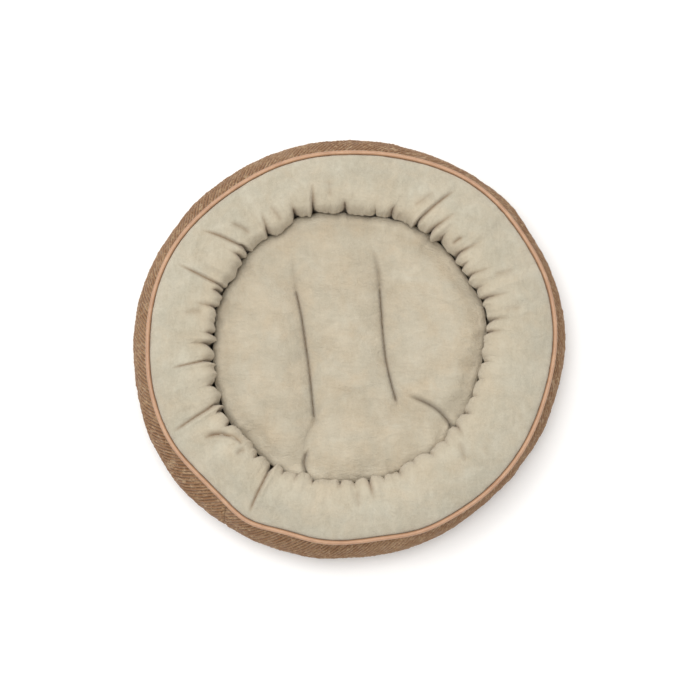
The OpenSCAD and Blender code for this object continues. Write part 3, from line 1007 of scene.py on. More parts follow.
def simulate(p_top, p_bot):
    """Pressure in the sewn cover: the two layers share their edge, and the quilting thread holds the channels."""
    n = p_top.shape[0]
    verts, faces, idx_b = close_layers(p_top, p_bot)
    me = bpy.data.meshes.new("sim")
    me.from_pydata((verts * MM).tolist(), [], faces.tolist())
    ob = bpy.data.objects.new("sim", me)
    scene.collection.objects.link(ob)
    pin = ob.vertex_groups.new(name="pin")
    d = np.minimum(path_dist(verts[:, 0], verts[:, 1], LEFT)[0], path_dist(verts[:, 0], verts[:, 1], RIGHT)[0])
    w = np.exp(-(d / 2.2) ** 2)
    rim = np.zeros((n, n), bool)
    rim[0, :] = rim[-1, :] = rim[:, 0] = rim[:, -1] = True
    w_all = w.copy()
    w_all[: n * n][rim.ravel()] = 1.0
    for i in np.nonzero(w_all > 0.05)[0]:
        pin.add([int(i)], float(min(w_all[i], 1)), "REPLACE")
    md = ob.modifiers.new("cloth", "CLOTH")
    st = md.settings
    st.quality = 5
    st.mass = 0.15
    st.air_damping = 2
    st.tension_stiffness = st.compression_stiffness = 12
    st.shear_stiffness = 4
    st.bending_stiffness = 0.35
    st.tension_damping = st.compression_damping = 8
    st.vertex_group_mass = "pin"
    st.pin_stiffness = 1.2
    st.use_pressure = True
    st.uniform_pressure_force = 4.0
    st.shrink_min = -0.045
    st.effector_weights.gravity = 0
    md.collision_settings.use_collision = False
    md.point_cache.frame_start, md.point_cache.frame_end = 1, 30
    for f in range(1, 23):
        scene.frame_set(f)
    dg = bpy.context.evaluated_depsgraph_get()
    ev = ob.evaluated_get(dg)
    co = np.zeros(len(me.vertices) * 3, np.float32)
    ev.data.vertices.foreach_get("co", co)
    co = co.reshape(-1, 3).astype(float) / MM
    bpy.data.objects.remove(ob)
    bpy.data.meshes.remove(me)
    scene.frame_set(1)
    move = co - verts
    size = np.linalg.norm(move, axis=1, keepdims=True)
    cap = 9.0
    move = move * np.minimum(1, cap / np.maximum(size, 1e-6))
    top, bot = calm_wrinkles(move[: n * n].reshape(n, n, 3)), calm_wrinkles(move[idx_b.ravel()].reshape(n, n, 3))
    return p_top + top, p_bot + bot


def close_layers(p_top, p_bot):
    """Vertices and quads of two n x n layers that share their outer edge."""
    n = p_top.shape[0]
    k = np.arange(n * n).reshape(n, n)
    inside = np.zeros((n, n), bool)
    inside[1:-1, 1:-1] = True
    idx_b = k.copy()
    idx_b[inside] = n * n + np.arange(inside.sum())
    verts = np.concatenate([p_top.reshape(-1, 3), p_bot[inside]])
    f_top = np.stack([k[:-1, :-1], k[1:, :-1], k[1:, 1:], k[:-1, 1:]], -1).reshape(-1, 4)
    f_bot = np.stack([idx_b[:-1, :-1], idx_b[:-1, 1:], idx_b[1:, 1:], idx_b[1:, :-1]], -1).reshape(-1, 4)
    return verts, np.concatenate([f_top, f_bot]), idx_b


top0, rad0 = cushion_layer(NG, True)
bot0, _ = cushion_layer(NG, False)
gentle = np.exp(-(np.minimum(path_dist(top0[..., 0], top0[..., 1], LEFT)[0], path_dist(top0[..., 0], top0[..., 1], RIGHT)[0]) / 13.0) ** 1.3)
top0[..., 2] -= 8.5 * gentle
bot0[..., 2] += 6.0 * gentle
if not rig.quick():
    top0, bot0 = simulate(top0, bot0)
m_up = upsampler(NG, (NG - 1) * UP + 1, False)
lift = lambda a: np.einsum("ij,jkc,lk->ilc", m_up, a, m_up)
top1, bot1 = lift(top0), lift(bot0)
_, rad1 = disc_grid(NG)
rad1 = np.clip(np.einsum("ij,jk,lk->il", m_up, rad1, m_up), 0, 1)


def dress(p, sign):
    """Narrow stitched channels, puckers and creases on a layer of the cushion. Returns the layer and its crease depth."""
    x, y = p[..., 0], p[..., 1]
    h = np.zeros(x.shape)
    cr = np.zeros(x.shape)
    for k, path in enumerate((LEFT, RIGHT)):
        d, side, t = path_dist(x, y, path)
        body = smooth01(-0.01, 0.05, t) * smooth01(1.01, 0.95, t)
        body = np.maximum(body, 0.35)
        end = np.hypot(*(np.stack([x, y]) - (path[0] if k < 0 else path[-1])[:, None, None]))
        h -= body * (7.2 * np.exp(-(d / 1.45) ** 1.3) + 2.9 * np.exp(-(d / 7.5) ** 1.3))
        # fine puckers that the thread draws into the cloth on both sides
        run = t * 150
        pk = vnoise(run / 3.4, side * 3.1, k, 101 + k) * np.exp(-(d / 4.2)) * 0.9 + vnoise(run / 8.5, side * 3.1, k + 5, 103 + k) * np.exp(-((d - 7) / 8.0) ** 2) * 0.9
        h += pk * smooth01(0, 1.0, d)
        cr = np.maximum(cr, body * np.exp(-(d / 1.35) ** 1.2))
    if sign > 0:
        for path, depth, half, skew, dark in (
                (LEFT_UP, 3.0, 4.2, 0.4, 0.3), (RIGHT_UP, 4.2, 3.2, 0.6, 0.5), (CREASE_R, 6.0, 2.0, 0.9, 0.9), (ARCH, 4.6, 3.0, 0.9, 0.32),
                (SLIT, 8.0, 2.2, 0.5, 0.9), (DIMPLE, 2.0, 4.5, 0.4, 0.15)):
            d, side, t = path_dist(x, y, path)
            fade = np.clip(np.sin(math.pi * np.clip(t * 0.94 + 0.03, 0, 1)) * 1.7, 0, 1)
            if path is LEFT_UP or path is RIGHT_UP or path is ARCH:
                fade = smooth01(0.0, 0.7, t if path is not ARCH else 1 - t * 0.7)
            if path is CREASE_R or path is SLIT:
                fade = smooth01(0.0, 0.35, t)
            h += fade * depth * (-np.exp(-(d / half) ** 1.15) + skew * 0.6 * np.exp(-((d * side - 3.4 * half) / (3.0 * half)) ** 2))
            cr = np.maximum(cr, fade * dark * np.exp(-d / half))
    # soft hand-filled lumps, and drag lines across the middle panel
    h += 2.5 * fbm(x / 42, y / 42, 0.5 * sign, 111, 2) * smooth01(1.0, 0.9, rad1)
    h += 0.8 * fbm(x / 13, y / 17, 3.5 * sign, 113, 2)
    drag = np.exp(-((x + 4) / 34) ** 2)
    h += 0.7 * vnoise(x / 30, (y + 0.1 * x) / 7.5, 9.0 * sign, 117) * drag
    # short pulls at the sewn edge
    ang = np.arctan2(y, x)
    h += 1.1 * vnoise(np.cos(ang) * 22, np.sin(ang) * 22, 1.0, 119) * smooth01(0.8, 0.97, rad1) * smooth01(1.0, 0.985, rad1)
    q = p.copy()
    n = grid_normals(p, False)
    n *= np.sign(n[n.shape[0] // 2, n.shape[0] // 2, 2]) * sign
    lean = smooth01(0.86, 0.97, rad1)[..., None]
    direct = n * lean + np.array([0, 0, float(sign)]) * (1 - lean)
    k = smooth01(1.0, 0.985, rad1)
    q += direct * (h * k)[..., None]
    return q, np.clip(cr, 0, 1)


top2, cr_top = dress(top1, 1)
bot2, cr_bot = dress(bot1, -1)
# the crown reaches its height, the underside rests flat on the lining
ztop = np.percentile(top2[..., 2], 99.5)
top2[..., 2] = CUSH_MID + (top2[..., 2] - CUSH_MID) * (CUSH_TOP + 2.6 - CUSH_MID) / max(ztop - CUSH_MID, 1)
soft = 2.2
zb = bot2[..., 2] - (CUSH_BOT + 0.05)
bot2[..., 2] = CUSH_BOT + 0.05 + soft * np.log1p(np.exp(np.clip((zb - 0.4) / soft, -30, 30)))
edge = np.zeros(rad1.shape, bool)
edge[0, :] = edge[-1, :] = edge[:, 0] = edge[:, -1] = True
bot2[edge] = top2[edge]


def fit_inside(p):
    r = np.hypot(p[..., 0], p[..., 1])
    lim = cushion_edge(np.arctan2(p[..., 1], p[..., 0]))
    over = np.clip(r - (lim - 1.2), 0, None)
    new = np.where(over > 0, lim - 1.2 + 1.2 * (1 - np.exp(-over / 1.2)), r)
    return p * np.stack([new / np.maximum(r, 1e-6)] * 2 + [np.ones_like(r)], -1)


top2, bot2 = fit_inside(top2), fit_inside(bot2)
v_c, f_c, idx_b = close_layers(top2, bot2)
cr_all = np.zeros(len(v_c))
cr_all[: cr_top.size] = cr_top.ravel()
cr_all[idx_b.ravel()] = np.maximum(cr_all[idx_b.ravel()], cr_bot.ravel())
cushion = make_mesh("quilted_cushion", v_c, f_c, attrs={"crease": cr_all, "edge": smooth01(0.84, 0.97, np.hypot(v_c[:, 0], v_c[:, 1]) / cushion_edge(np.arctan2(v_c[:, 1], v_c[:, 0])))})

# ------------------------------------------------------------------ threads
def on_grid(p, x, y):
    """Height of the layer p at the points x, y."""
    g = p.reshape(-1, 3)
    out = np.zeros(len(x))
    for i in range(len(x)):
        d = (g[:, 0] - x[i]) ** 2 + (g[:, 1] - y[i]) ** 2
        k = np.argpartition(d, 4)[:4]
        w = 1 / (d[k] + 0.02)
        out[i] = (g[k, 2] * w).sum() / w.sum()
    return out


def channel_thread(name, path, grid, sign, seed):
    d = np.concatenate([[0], np.cumsum(np.linalg.norm(np.diff(path, axis=0), axis=1))])
    run = np.arange(2.5, d[-1] - 2.0, 3.6)
    x, y = np.interp(run, d, path[:, 0]), np.interp(run, d, path[:, 1])
    z = on_grid(grid, x, y)
    c = np.stack([x, y, z - sign * 0.5], -1)
    return stitches(name, c, np.gradient(c, axis=0), np.tile([0, 0, float(sign)], (len(c), 1)), 2.9, 0.62, 0.5, 0.12, seed)


def join_meshes(name, *obs):
    """One object out of several."""
    verts, quads, tris, off = [], [], [], 0
    for o in obs:
        me = o.data
        v = np.zeros(len(me.vertices) * 3, np.float32)
        me.vertices.foreach_get("co", v)
        verts.append(v.reshape(-1, 3).astype(float) / MM)
        loops = np.zeros(len(me.loops), np.int32)
        me.loops.foreach_get("vertex_index", loops)
        total = np.zeros(len(me.polygons), np.int32)
        me.polygons.foreach_get("loop_total", total)
        start = np.concatenate([[0], np.cumsum(total)[:-1]]).astype(int)
        q = start[total == 4]
        t = start[total == 3]
        quads.append(loops[q[:, None] + np.arange(4)] + off)
        tris.append(loops[t[:, None] + np.arange(3)] + off)
        off += len(me.vertices)
        bpy.data.objects.remove(o)
        bpy.data.meshes.remove(me)
    return make_mesh(name, np.concatenate(verts), np.concatenate(quads), np.concatenate(tris))


thread_left = join_meshes("channel_thread_left", channel_thread("a", LEFT, top2, 1, 7), channel_thread("b", LEFT, bot2, -1, 8))
thread_right = join_meshes("channel_thread_right", channel_thread("c", RIGHT, top2, 1, 9), channel_thread("d", RIGHT, bot2, -1, 10))

n_e = 270
th_e = np.arange(n_e) * TAU / n_e
ring_e = top2[edge]
ang_e = np.arctan2(ring_e[:, 1], ring_e[:, 0])
o_e = np.argsort(ang_e)
r_e = np.interp(np.mod(th_e + math.pi, TAU) - math.pi, ang_e[o_e], np.hypot(ring_e[o_e, 0], ring_e[o_e, 1]), period=TAU)
z_e = np.interp(np.mod(th_e + math.pi, TAU) - math.pi, ang_e[o_e], ring_e[o_e, 2], period=TAU)
c_e = polar(r_e - 0.1, th_e, z_e)
edge_thread = stitches("cushion_edge_thread_piece", c_e, np.roll(c_e, -1, 0) - np.roll(c_e, 1, 0), polar(np.ones(n_e), th_e, 0), 2.7, 0.55, 0.5, 0.1, 11)


def ring_thread(name, radius, z, pitch, out, seed, length=0.8):
    n = int(round(TAU * radius / pitch))
    t = np.arange(n) * TAU / n
    c = polar(np.full(n, radius), t, z)
    o = np.tile(np.array(out, float), (n, 1)) if out is not None else -polar(np.ones(n), t, 0)
    return stitches(name, c, polar(np.ones(n), t + math.pi / 2, 0), o, pitch * length, 0.7, 0.5, 0.1, seed)


base_thread = ring_thread("base_seam_stitches", 220.0, 0.42, 4.4, (0, 0, -1), 21)
inner_low = ring_thread("t1", 168.5, 0.42, 4.0, (0, 0, -1), 22)
inner_top = ring_thread("t2", 168.5, 7.1, 4.0, (0, 0, 1), 23)
inner_thread = join_meshes("inner_seam_stitches", inner_low, inner_top)
n_r = 350
th_r = np.arange(n_r) * TAU / n_r
c_r = polar(rim_r(th_r) - 6.3, th_r, rim_z(th_r) - 6.0)
rim_thread = stitches("rim_seam_stitches", c_r, np.roll(c_r, -1, 0) - np.roll(c_r, 1, 0), -polar(np.ones(n_r), th_r, 0), 3.2, 0.7, 0.5, 0.1, 24)

# ------------------------------------------------------------------ base cloth, lining, label, elastic, fillings


def disc(name, radius_at, z_top, z_bot, n_t=360, n_r=40, attrs=None):
    """Closed cloth disc: two faces joined at the rim. z_top and z_bot take (x, y, share of radius)."""
    t = np.arange(n_t) * TAU / n_t
    share = np.linspace(0.02, 1, n_r)
    r = radius_at(t)[:, None] * share[None, :]
    tt = np.broadcast_to(t[:, None], r.shape)
    x, y = r * np.cos(tt), r * np.sin(tt)
    s = np.broadcast_to(share[None, :], r.shape)
    a = np.stack([x, y, z_top(x, y, s)], -1)
    b = np.stack([x, y, z_bot(x, y, s)], -1)[:, ::-1]
    p = np.concatenate([a, b], 1)
    nv = p.shape[1]
    quads = grid_quads(n_t, nv, True, False)
    mid_a, mid_b = a[:, 0].mean(0), b[:, -1].mean(0)
    verts = np.concatenate([p.reshape(-1, 3), [mid_a, mid_b]])
    k = np.arange(n_t)
    k1 = (k + 1) % n_t
    tris = np.concatenate([
        np.stack([np.full(n_t, n_t * nv), k1 * nv, k * nv], -1)[:, ::-1],
        np.stack([np.full(n_t, n_t * nv + 1), k * nv + nv - 1, k1 * nv + nv - 1], -1)[:, ::-1]])
    return make_mesh(name, verts, quads, tris)


def base_low(x, y, s):
    seam = np.exp(-((np.hypot(x, y) - 220) / 2.2) ** 2) + np.exp(-((np.hypot(x, y) - 168.5) / 2.2) ** 2)
    wave = 0.16 * (0.5 + 0.5 * fbm(x / 40, y / 40, 0.0, 131, 2))
    return 0.42 + wave + 0.28 * seam


base_cloth = disc("base_cloth_panel", lambda t: base_edge(t) - 0.1, lambda x, y, s: 1.55 + 0.25 * fbm(x / 30, y / 30, 1.0, 132, 2), base_low, 420, 72)
# grip dots on its underside
dots = []
pitch = 11.0
for i in range(-24, 25):
    for j in range(-24, 25):
        x = pitch * (i + 0.5 * (j % 2))
        y = pitch * 0.866 * j
        if math.hypot(x, y) < 213 and abs(math.hypot(x, y) - 168.5) > 4.5:
            dots.append((x, y))
dots = np.array(dots)
k = np.arange(12) * TAU / 12
rings = [(2.1, 0.62), (2.0, 0.22), (1.5, 0.06), (0.7, 0.0)]
dv = np.concatenate([np.stack([r * np.cos(k), r * np.sin(k), np.full(12, z)], -1) for r, z in rings] + [np.array([[0, 0, 0.0], [0, 0, 0.62]])])
dq = grid_quads(4, 12, False, True)
kk = np.arange(12)
dt = np.concatenate([np.stack([np.full(12, 48), 36 + kk, 36 + (kk + 1) % 12], -1), np.stack([np.full(12, 49), (kk + 1) % 12, kk], -1)])
nd = len(dots)
verts = dv[None] + np.concatenate([dots, np.zeros((nd, 1))], 1)[:, None]
offs = (np.arange(nd) * len(dv))[:, None, None]
grip = make_mesh("base_grip_dots", verts, (dq[None] + offs).reshape(-1, 4), (dt[None] + offs).reshape(-1, 3))


def lining_top(x, y, s):
    r, t = np.hypot(x, y), np.arctan2(y, x)
    pull = vnoise(np.cos(t) * 24, np.sin(t) * 24, 0.0, 141) * smooth01(140, 168, r)
    return FLOOR_Z - 0.15 - 0.22 * (0.5 + 0.5 * fbm(x / 26, y / 26, 0.0, 142, 3)) + 0.12 * pull


lining = disc("floor_lining", lambda t: np.full(t.shape, FLOOR_R), lining_top, lambda x, y, s: 2.1 + 0 * x, 360, 64)

# label: a blank folded satin tab caught in the base seam
lab_lo, lab_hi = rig.box("care_label")
a0 = math.radians(68.0)
ru, wu = np.linspace(220.5, 243.6, 26), np.linspace(-15.8, 15.8, 22)
loop_r = np.concatenate([ru, [244.05], ru[::-1]])
z_mid = lambda r, w: 2.5 + 0.25 * np.sin(w / 7.0) * (r - 220) / 24 - 0.35 * ((r - 226) / 18) ** 2 * (r > 226)
gap = np.concatenate([np.full(26, 0.24), [0.0], np.full(26, -0.24)])
gap[18:35] *= np.array([1.02, 1.06, 1.1, 1.12, 1.12, 1.05, 0.9, 0.6, 0.0, 0.6, 0.9, 1.05, 1.12, 1.12, 1.1, 1.06, 1.02])
sheet_o = np.zeros((len(loop_r), len(wu), 3))
for i, rr in enumerate(loop_r):
    sheet_o[i, :, 0] = rr * math.cos(a0) - wu * math.sin(a0)
    sheet_o[i, :, 1] = rr * math.sin(a0) + wu * math.cos(a0)
    sheet_o[i, :, 2] = z_mid(rr, wu) + gap[i]
ln = grid_normals(sheet_o, False)
if ln[3, 3, 2] < 0:
    ln = -ln
sheet_i = sheet_o - ln * 0.13
loop = np.concatenate([sheet_o, sheet_i[:, ::-1]], 1)
label_q = grid_quads(loop.shape[0], loop.shape[1], False, True)
nn = loop.shape[1]
half = nn // 2
caps = []
for row, flip in ((0, True), (loop.shape[0] - 1, False)):
    for c in range(half - 1):
        q = [row * nn + c, row * nn + c + 1, row * nn + nn - 2 - c, row * nn + nn - 1 - c]
        caps.append(q[::-1] if flip else q)
label = make_mesh("folded_label", loop, np.concatenate([label_q, np.array(caps)]))

# elastic that gathers the well, sewn to the foot of the plush
n_l = 1056
th_l = np.arange(n_l) * TAU / n_l
cord_l = 0.14 * np.cos(th_l * 264)
sect = [(166.1, 6.5), (166.4, 6.95), (168.5, 7.0), (170.6, 6.95), (170.9, 6.5), (170.6, 6.3), (168.5, 6.25), (166.4, 6.3)]
el = np.stack([polar(np.full(n_l, r), th_l, z + (cord_l if 6.9 < z else 0) + 0.0 * th_l) for r, z in sect], 1)
elastic = make_mesh("gather_elastic_band", el, grid_quads(n_l, len(sect), True, True))

# fibrefill of the bolster: a lumpy ring a little inside its cover
cols = np.arange(0, NU, 5)
rows = np.arange(8, NV - 8, 3)
h_min = h_b.copy()
for k in range(-9, 10, 3):
    h_min = np.minimum(h_min, np.roll(h_b, k, 0))
inner_skin = (base_p + base_n * (h_min - 4.6)[..., None])[cols][:, rows]
thf = th_u[cols]
outer = []
for s in np.linspace(0.03, 0.88, 15):
    r, z = band_point(thf, np.full(len(thf), s))
    outer.append(polar(r - 5.0, thf, z + 3.0))
outer = np.stack(outer, 1)
skin = np.concatenate([outer, inner_skin], 1)
skin[..., 2] = np.maximum(skin[..., 2], 8.2 - 2.2 * smooth01(176, 186, np.hypot(skin[..., 0], skin[..., 1])))
sn = grid_normals(skin, True, True)
cen = skin.mean(1, keepdims=True)
if ((skin - cen) * sn).sum(-1).mean() < 0:
    sn = -sn
lump = fbm(skin[..., 0] / 16, skin[..., 1] / 16, skin[..., 2] / 16, 151, 3)
skin = skin - sn * (0.6 + 0.9 * (lump * 0.5 + 0.5))[..., None]
bolster_fill = make_mesh("bolster_fibrefill", skin, grid_quads(skin.shape[0], skin.shape[1], True, True))

# fibrefill of the cushion
step = 3
ft, fb = top2[::step, ::step].copy(), bot2[::step, ::step].copy()


def spread(z, least):
    """Lowest or highest value within a few cells, sampled on the coarse grid."""
    q = np.pad(z, 6, mode="edge")
    pick = np.min if least else np.max
    q = pick([q[6 + k: 6 + k + z.shape[0], :] for k in range(-6, 7)], 0)
    q = pick([q[:, 6 + k: 6 + k + z.shape[1]] for k in range(-6, 7)], 0)
    return q[::step, ::step]


ft[..., 2], fb[..., 2] = spread(top2[..., 2], True), spread(bot2[..., 2], False)
fb[..., 2] = np.minimum(fb[..., 2], ft[..., 2])
shrink = lambda p, dz: np.stack([p[..., 0] * 0.955, p[..., 1] * 0.955, p[..., 2] + dz], -1)
mid = (ft[..., 2] + fb[..., 2]) / 2
thick = np.maximum(ft[..., 2] - fb[..., 2], 0)
lum = lambda p, s: 0.8 * fbm(p[..., 0] / 14, p[..., 1] / 14, float(s), 161, 3)
a, b = shrink(ft, 0), shrink(fb, 0)
a[..., 2] = mid + np.maximum(thick / 2 - 4.6, 0.25) + lum(a, 1) * (thick > 14) - 0.2
b[..., 2] = mid - np.maximum(thick / 2 - 4.6, 0.25) + lum(b, 2) * (thick > 14) - 0.2
e2 = np.zeros(a.shape[:2], bool)
e2[0, :] = e2[-1, :] = e2[:, 0] = e2[:, -1] = True
b[e2] = a[e2]
vf, ff, _ = close_layers(a, b)
cushion_fill = make_mesh("cushion_fibrefill", vf, ff)

piping = join_meshes("rim_piping_with_tape", piping, tape)

# ------------------------------------------------------------------ materials


def plush(name, light, dark, deep, warm_c, streak_scale, edge=None):
    m = Mat(name, light, rough=0.92, spec=0.12, sheen=0.5, sheen_rough=0.5, sheen_tint=srgb(248, 240, 226))
    broad_n = m.remap(m.noise(m.obj(), 22, 3, 0.55, 0.8), 0.34, 0.66)
    hue = m.remap(m.noise(m.obj((1, 1, 1), (0.4, 0.2, 0.9)), 31, 3, 0.6, 0.6), 0.38, 0.68)
    nap = m.remap(m.noise(m.obj(streak_scale), 88, 4, 0.62, 1.0), 0.3, 0.7)
    brush = m.remap(m.noise(m.obj((1, 0.28, 1), (0.0, 0.0, 0.5)), 190, 3, 0.6, 0.7), 0.45, 0.72)
    fine = m.noise(m.obj(), 620, 4, 0.65)
    fibre = m.noise(m.obj(), 1900, 2, 0.6)
    c = m.mix(m.math("MULTIPLY", broad_n, 0.85), light, dark)
    c = m.mix(m.math("MULTIPLY", hue, 0.42 if name == "plush" else 0.44), c, warm_c)
    c = m.mix(m.math("MULTIPLY", nap, 0.4), c, tuple(v * 0.8 for v in dark))
    c = m.mix(m.math("MULTIPLY", brush, 0.22 if name == "plush" else 0.16), c, tuple(min(1, v * 1.22) for v in light))
    c = m.mix(m.remap(fine, 0.35, 0.7, 0.0, 0.3), c, tuple(min(1, v * 1.18) for v in light))
    if edge:
        c = m.mix(m.remap(m.attr("edge"), 0.25, 1.0, 0.0, 0.4), c, edge)
    cr = m.attr("crease")
    c = m.mix(m.remap(cr, 0.08, 0.95, 0.0, 0.8), c, deep)
    m.color(c)
    pile = m.noise(m.obj(streak_scale), 330, 3, 0.7, 0.4)
    h = m.math("ADD", m.math("MULTIPLY", fine, 0.6), m.math("MULTIPLY", fibre, 0.35))
    h = m.math("ADD", h, m.math("MULTIPLY", pile, 0.9))
    h = m.math("ADD", h, m.math("MULTIPLY", nap, 0.5))
    m.normal(m.bump(h, 0.75, 0.0018))
    m.rough(m.remap(nap, 0, 1, 0.82, 0.97))
    return m


plush("plush", srgb(189, 183, 166), srgb(169, 161, 142), srgb(122, 94, 66), srgb(190, 170, 142), (1, 1, 0.4), srgb(204, 188, 162)).on(bolster)
plush("cushion_plush", srgb(190, 182, 164), srgb(171, 161, 141), srgb(74, 53, 34), srgb(194, 172, 142), (0.45, 1, 1), srgb(222, 212, 192)).on(cushion)

m = Mat("twill", srgb(150, 121, 92), rough=0.88, spec=0.15, sheen=0.15)
rib_a = m.attr("rib")
long_fleck = m.noise(m.uv((230, 90, 1)), 1.0, 5, 0.75, 1.2)
small = m.noise(m.uv((760, 900, 1)), 1.0, 3, 0.7)
slow = m.noise(m.obj(), 12, 2, 0.5)
c = m.mix(m.math('ADD', m.math('MULTIPLY', rib_a, 0.8), m.remap(small, 0.3, 0.7, 0.0, 0.3), True), srgb(72, 42, 22), srgb(144, 104, 68))
c = m.mix(m.remap(long_fleck, 0.5, 0.64, 0, 0.85), c, srgb(192, 164, 128))
c = m.mix(m.remap(small, 0.34, 0.5, 0.5, 0.0), c, srgb(84, 58, 38))
c = m.mix(m.remap(slow, 0.35, 0.7, 0.0, 0.35), c, srgb(164, 132, 98))
m.color(c)
weave = m.node("ShaderNodeTexWave", wave_type="BANDS", bands_direction="Y")
weave.inputs["Scale"].default_value = 1.0
weave.inputs["Distortion"].default_value = 1.2
weave.inputs["Detail"].default_value = 2
m.link(m.uv((300, 190, 1), (0, 0, 0.6)), weave.inputs["Vector"])
h = m.math("ADD", m.math("MULTIPLY", weave.outputs["Fac"], 0.7), m.math("MULTIPLY", small, 0.6))
m.normal(m.bump(h, 0.6, 0.0006))
m.on(side_band)

m = Mat("band_edge", srgb(112, 88, 64), rough=0.9, spec=0.12)
m.color(m.mix(m.noise(m.obj(), 900, 3, 0.6), srgb(90, 68, 48), srgb(146, 118, 88)))
m.normal(m.bump(m.noise(m.obj(), 1500, 3), 0.5, 0.0004))
m.on(join_seam)

m = Mat("piping", srgb(180, 134, 100), rough=0.34, spec=0.6, sheen=0.05)
crush = m.noise(m.obj(), 420, 4, 0.62, 0.5)
grain = m.node("ShaderNodeTexVoronoi", feature="DISTANCE_TO_EDGE")
grain.inputs["Scale"].default_value = 1300
m.link(m.obj(), grain.inputs["Vector"])
tone = m.remap(m.noise(m.obj(), 60, 3, 0.5), 0.35, 0.7)
c = m.mix(tone, srgb(168, 128, 98), srgb(186, 147, 115))
c = m.mix(m.remap(crush, 0.3, 0.48, 0.35, 0.0), c, srgb(150, 104, 74))
m.color(c)
m.rough(m.remap(crush, 0.3, 0.7, 0.3, 0.48))
m.normal(m.bump(m.math("ADD", crush, m.remap(grain.outputs["Distance"], 0.0, 0.18, 0.0, 0.5)), 0.35, 0.0004))
m.on(piping)


def woven(name, warp, weft, count, rough=0.9, bump=0.5, depth=0.0004):
    m = Mat(name, warp, rough=rough, spec=0.15)
    v = m.obj()
    w1 = m.node("ShaderNodeTexWave", wave_type="BANDS", bands_direction="X")
    w2 = m.node("ShaderNodeTexWave", wave_type="BANDS", bands_direction="Y")
    for w in (w1, w2):
        w.inputs["Scale"].default_value = count
        w.inputs["Distortion"].default_value = 0.6
        w.inputs["Detail"].default_value = 1
        m.link(v, w.inputs["Vector"])
    a, b = w1.outputs["Fac"], w2.outputs["Fac"]
    check = m.math("MULTIPLY", a, b)
    n = m.noise(v, 240, 3, 0.6)
    c = m.mix(check, weft, warp)
    c = m.mix(m.remap(n, 0.35, 0.65, 0.0, 0.35), c, tuple(x * 0.72 for x in warp))
    m.color(c)
    m.normal(m.bump(m.math("ADD", a, b), bump, depth))
    return m


woven("base_cloth", srgb(134, 112, 88), srgb(104, 84, 64), 330).on(base_cloth)
m = Mat("grip_dots", srgb(84, 70, 58), rough=0.55, spec=0.35)
m.color(m.mix(m.noise(m.obj(), 500, 3), srgb(76, 62, 50), srgb(98, 82, 68)))
m.normal(m.bump(m.noise(m.obj(), 1400, 2), 0.3, 0.0002))
m.on(grip)
woven("lining", srgb(212, 200, 176), srgb(188, 174, 148), 420).on(lining)

m = Mat("fibrefill", srgb(240, 239, 234), rough=0.95, spec=0.1, sheen=0.3)
f1 = m.noise(m.obj(), 260, 5, 0.7, 2.5)
m.color(m.mix(m.remap(f1, 0.3, 0.7), srgb(222, 221, 215), srgb(247, 246, 242)))
m.normal(m.bump(f1, 0.8, 0.0018))
m.on(bolster_fill, cushion_fill)

m = Mat("elastic", srgb(232, 230, 222), rough=0.7, spec=0.25)
f1 = m.noise(m.obj(), 900, 3, 0.6)
m.color(m.mix(f1, srgb(214, 211, 202), srgb(242, 240, 234)))
m.normal(m.bump(f1, 0.4, 0.0003))
m.on(elastic)

m = Mat("cotton_cord", srgb(226, 216, 196), rough=0.9, spec=0.12, sheen=0.1)
f1 = m.noise(m.obj(), 1100, 4, 0.65, 1.0)
m.color(m.mix(f1, srgb(206, 194, 170), srgb(238, 230, 212)))
m.normal(m.bump(f1, 0.5, 0.0004))
m.on(cord_core)


def thread_mat(name, a, b):
    m = Mat(name, a, rough=0.6, spec=0.3)
    w = m.node("ShaderNodeTexWave", wave_type="BANDS", bands_direction="DIAGONAL")
    w.inputs["Scale"].default_value = 1500
    w.inputs["Distortion"].default_value = 0.8
    m.link(m.obj(), w.inputs["Vector"])
    m.color(m.mix(w.outputs["Fac"], a, b))
    m.normal(m.bump(w.outputs["Fac"], 0.5, 0.0002))
    return m


thread_mat("cream_thread", srgb(172, 156, 128), srgb(146, 130, 102)).on(inner_thread, edge_thread, thread_left, thread_right)
thread_mat("brown_thread", srgb(120, 92, 66), srgb(92, 68, 48)).on(base_thread, rim_thread)

m = Mat("label_satin", srgb(238, 236, 230), rough=0.35, spec=0.5, sheen=0.1)
w = m.node("ShaderNodeTexWave", wave_type="BANDS", bands_direction="X")
w.inputs["Scale"].default_value = 900
m.link(m.obj((1, 1, 1), (0, 0, -a0)), w.inputs["Vector"])
m.color(m.mix(w.outputs["Fac"], srgb(230, 227, 220), srgb(244, 243, 238)))
m.rough(m.remap(m.noise(m.obj(), 300, 2), 0.3, 0.7, 0.28, 0.42))
m.normal(m.bump(w.outputs["Fac"], 0.2, 0.0001))
m.on(label)

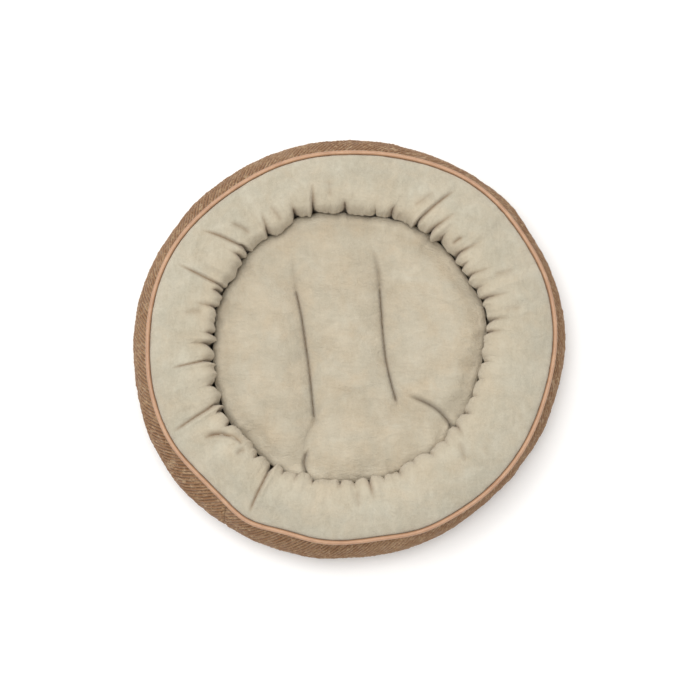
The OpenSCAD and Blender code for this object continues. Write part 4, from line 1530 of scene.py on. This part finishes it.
# ------------------------------------------------------------------ what rides on what
for o, nodes, body, slot in (
        (bolster, ["bolster_cover"], "bed", "plush"), (bolster_fill, ["bolster_fill"], "bed", "fibrefill"),
        (side_band, ["side_band"], "bed", "twill"), (join_seam, ["band_join_seam"], "bed", "twill"),
        (piping, ["rim_piping_cover"], "bed", "piping"), (cord_core, ["rim_piping_cord"], "bed", "cotton_cord"),
        (rim_thread, ["rim_seam_thread"], "bed", "brown_thread"), (base_cloth, ["base_panel"], "bed", "base_cloth"),
        (grip, [], "bed", "base_cloth"), (lining, ["floor_panel"], "bed", "lining"), (base_thread, ["base_seam_thread"], "bed", "brown_thread"),
        (inner_thread, ["inner_seam_thread"], "bed", "cream_thread"), (elastic, ["gather_elastic"], "bed", "elastic"),
        (label, ["care_label"], "bed", "label_satin"),
        (cushion, ["cushion_top_cover", "cushion_bottom_cover"], "cushion", "cushion_plush"), (cushion_fill, ["cushion_fill"], "cushion", "fibrefill"),
        (edge_thread, ["cushion_edge_thread"], "cushion", "cream_thread"),
        (thread_left, ["channel_stitch_left"], "cushion", "cream_thread"), (thread_right, ["channel_stitch_right"], "cushion", "cream_thread")):
    if nodes:
        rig.replaces(o, *nodes)
    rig.slot(o, slot)
    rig.ride(o, body)

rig.padded(bolster, fill=0.8)
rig.padded(side_band, fill=0.8)
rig.padded(cushion, fill=0.6)
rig.sheet(base_cloth, flat=(0.456, 0.456), held="laid", area=math.pi * 0.228**2, rests_on=["base_grip_dots"])
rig.sheet(lining, flat=(0.344, 0.344), held="laid", area=math.pi * 0.172**2, rests_on=["base_cloth_panel"])

# ------------------------------------------------------------------ floor, light and camera
me = bpy.data.meshes.new("studio_floor")
me.from_pydata([(-9, -9, -0.0002), (9, -9, -0.0002), (9, 9, -0.0002), (-9, 9, -0.0002)], [], [(0, 1, 2, 3)])
floor = bpy.data.objects.new("studio_floor", me)
scene.collection.objects.link(floor)
m = Mat("floor_paper", (0.96, 0.96, 0.96), rough=0.95, spec=0.02)
m.on(floor)
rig.stage(floor)

world = bpy.data.worlds.new("studio")
scene.world = world
world.use_nodes = True
world.node_tree.nodes["Background"].inputs[0].default_value = (1.0, 0.995, 0.985, 1)
world.node_tree.nodes["Background"].inputs[1].default_value = 0.66


def area_light(name, at, size, power, color=(1, 1, 1), aim=(0, 0, 0.05)):
    li = bpy.data.lights.new(name, "AREA")
    li.shape = "DISK"
    li.size = size
    li.energy = power
    li.color = color
    ob = bpy.data.objects.new(name, li)
    ob.location = at
    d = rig.Vector(aim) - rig.Vector(at) if hasattr(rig, "Vector") else None
    ob.rotation_euler = d.to_track_quat("-Z", "Y").to_euler()
    scene.collection.objects.link(ob)
    return ob


area_light("key", (-0.5, 0.46, 3.4), 2.7, 100, (1.0, 0.99, 0.97))

cam = bpy.data.cameras.new("camera")
cam.lens = 95.8
cam.sensor_width = 36
cam.clip_start, cam.clip_end = 0.05, 30
camera = bpy.data.objects.new("camera", cam)
el, aim, dist_c = math.radians(85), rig.Vector((0, -0.0014, 0.045)), 2.155
camera.location = aim + dist_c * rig.Vector((0, -math.cos(el), math.sin(el)))
camera.rotation_euler = (aim - camera.location).to_track_quat("-Z", "Y").to_euler()
scene.collection.objects.link(camera)
scene.camera = camera
scene.view_settings.view_transform = "Standard"

bpy.context.view_layer.update()
VIS_LO, VIS_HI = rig.bounds()
with open("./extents.json", "w") as f:
    json.dump({"cad": [list(CAD_LO), list(CAD_HI)], "visual": [list(VIS_LO), list(VIS_HI)]}, f)
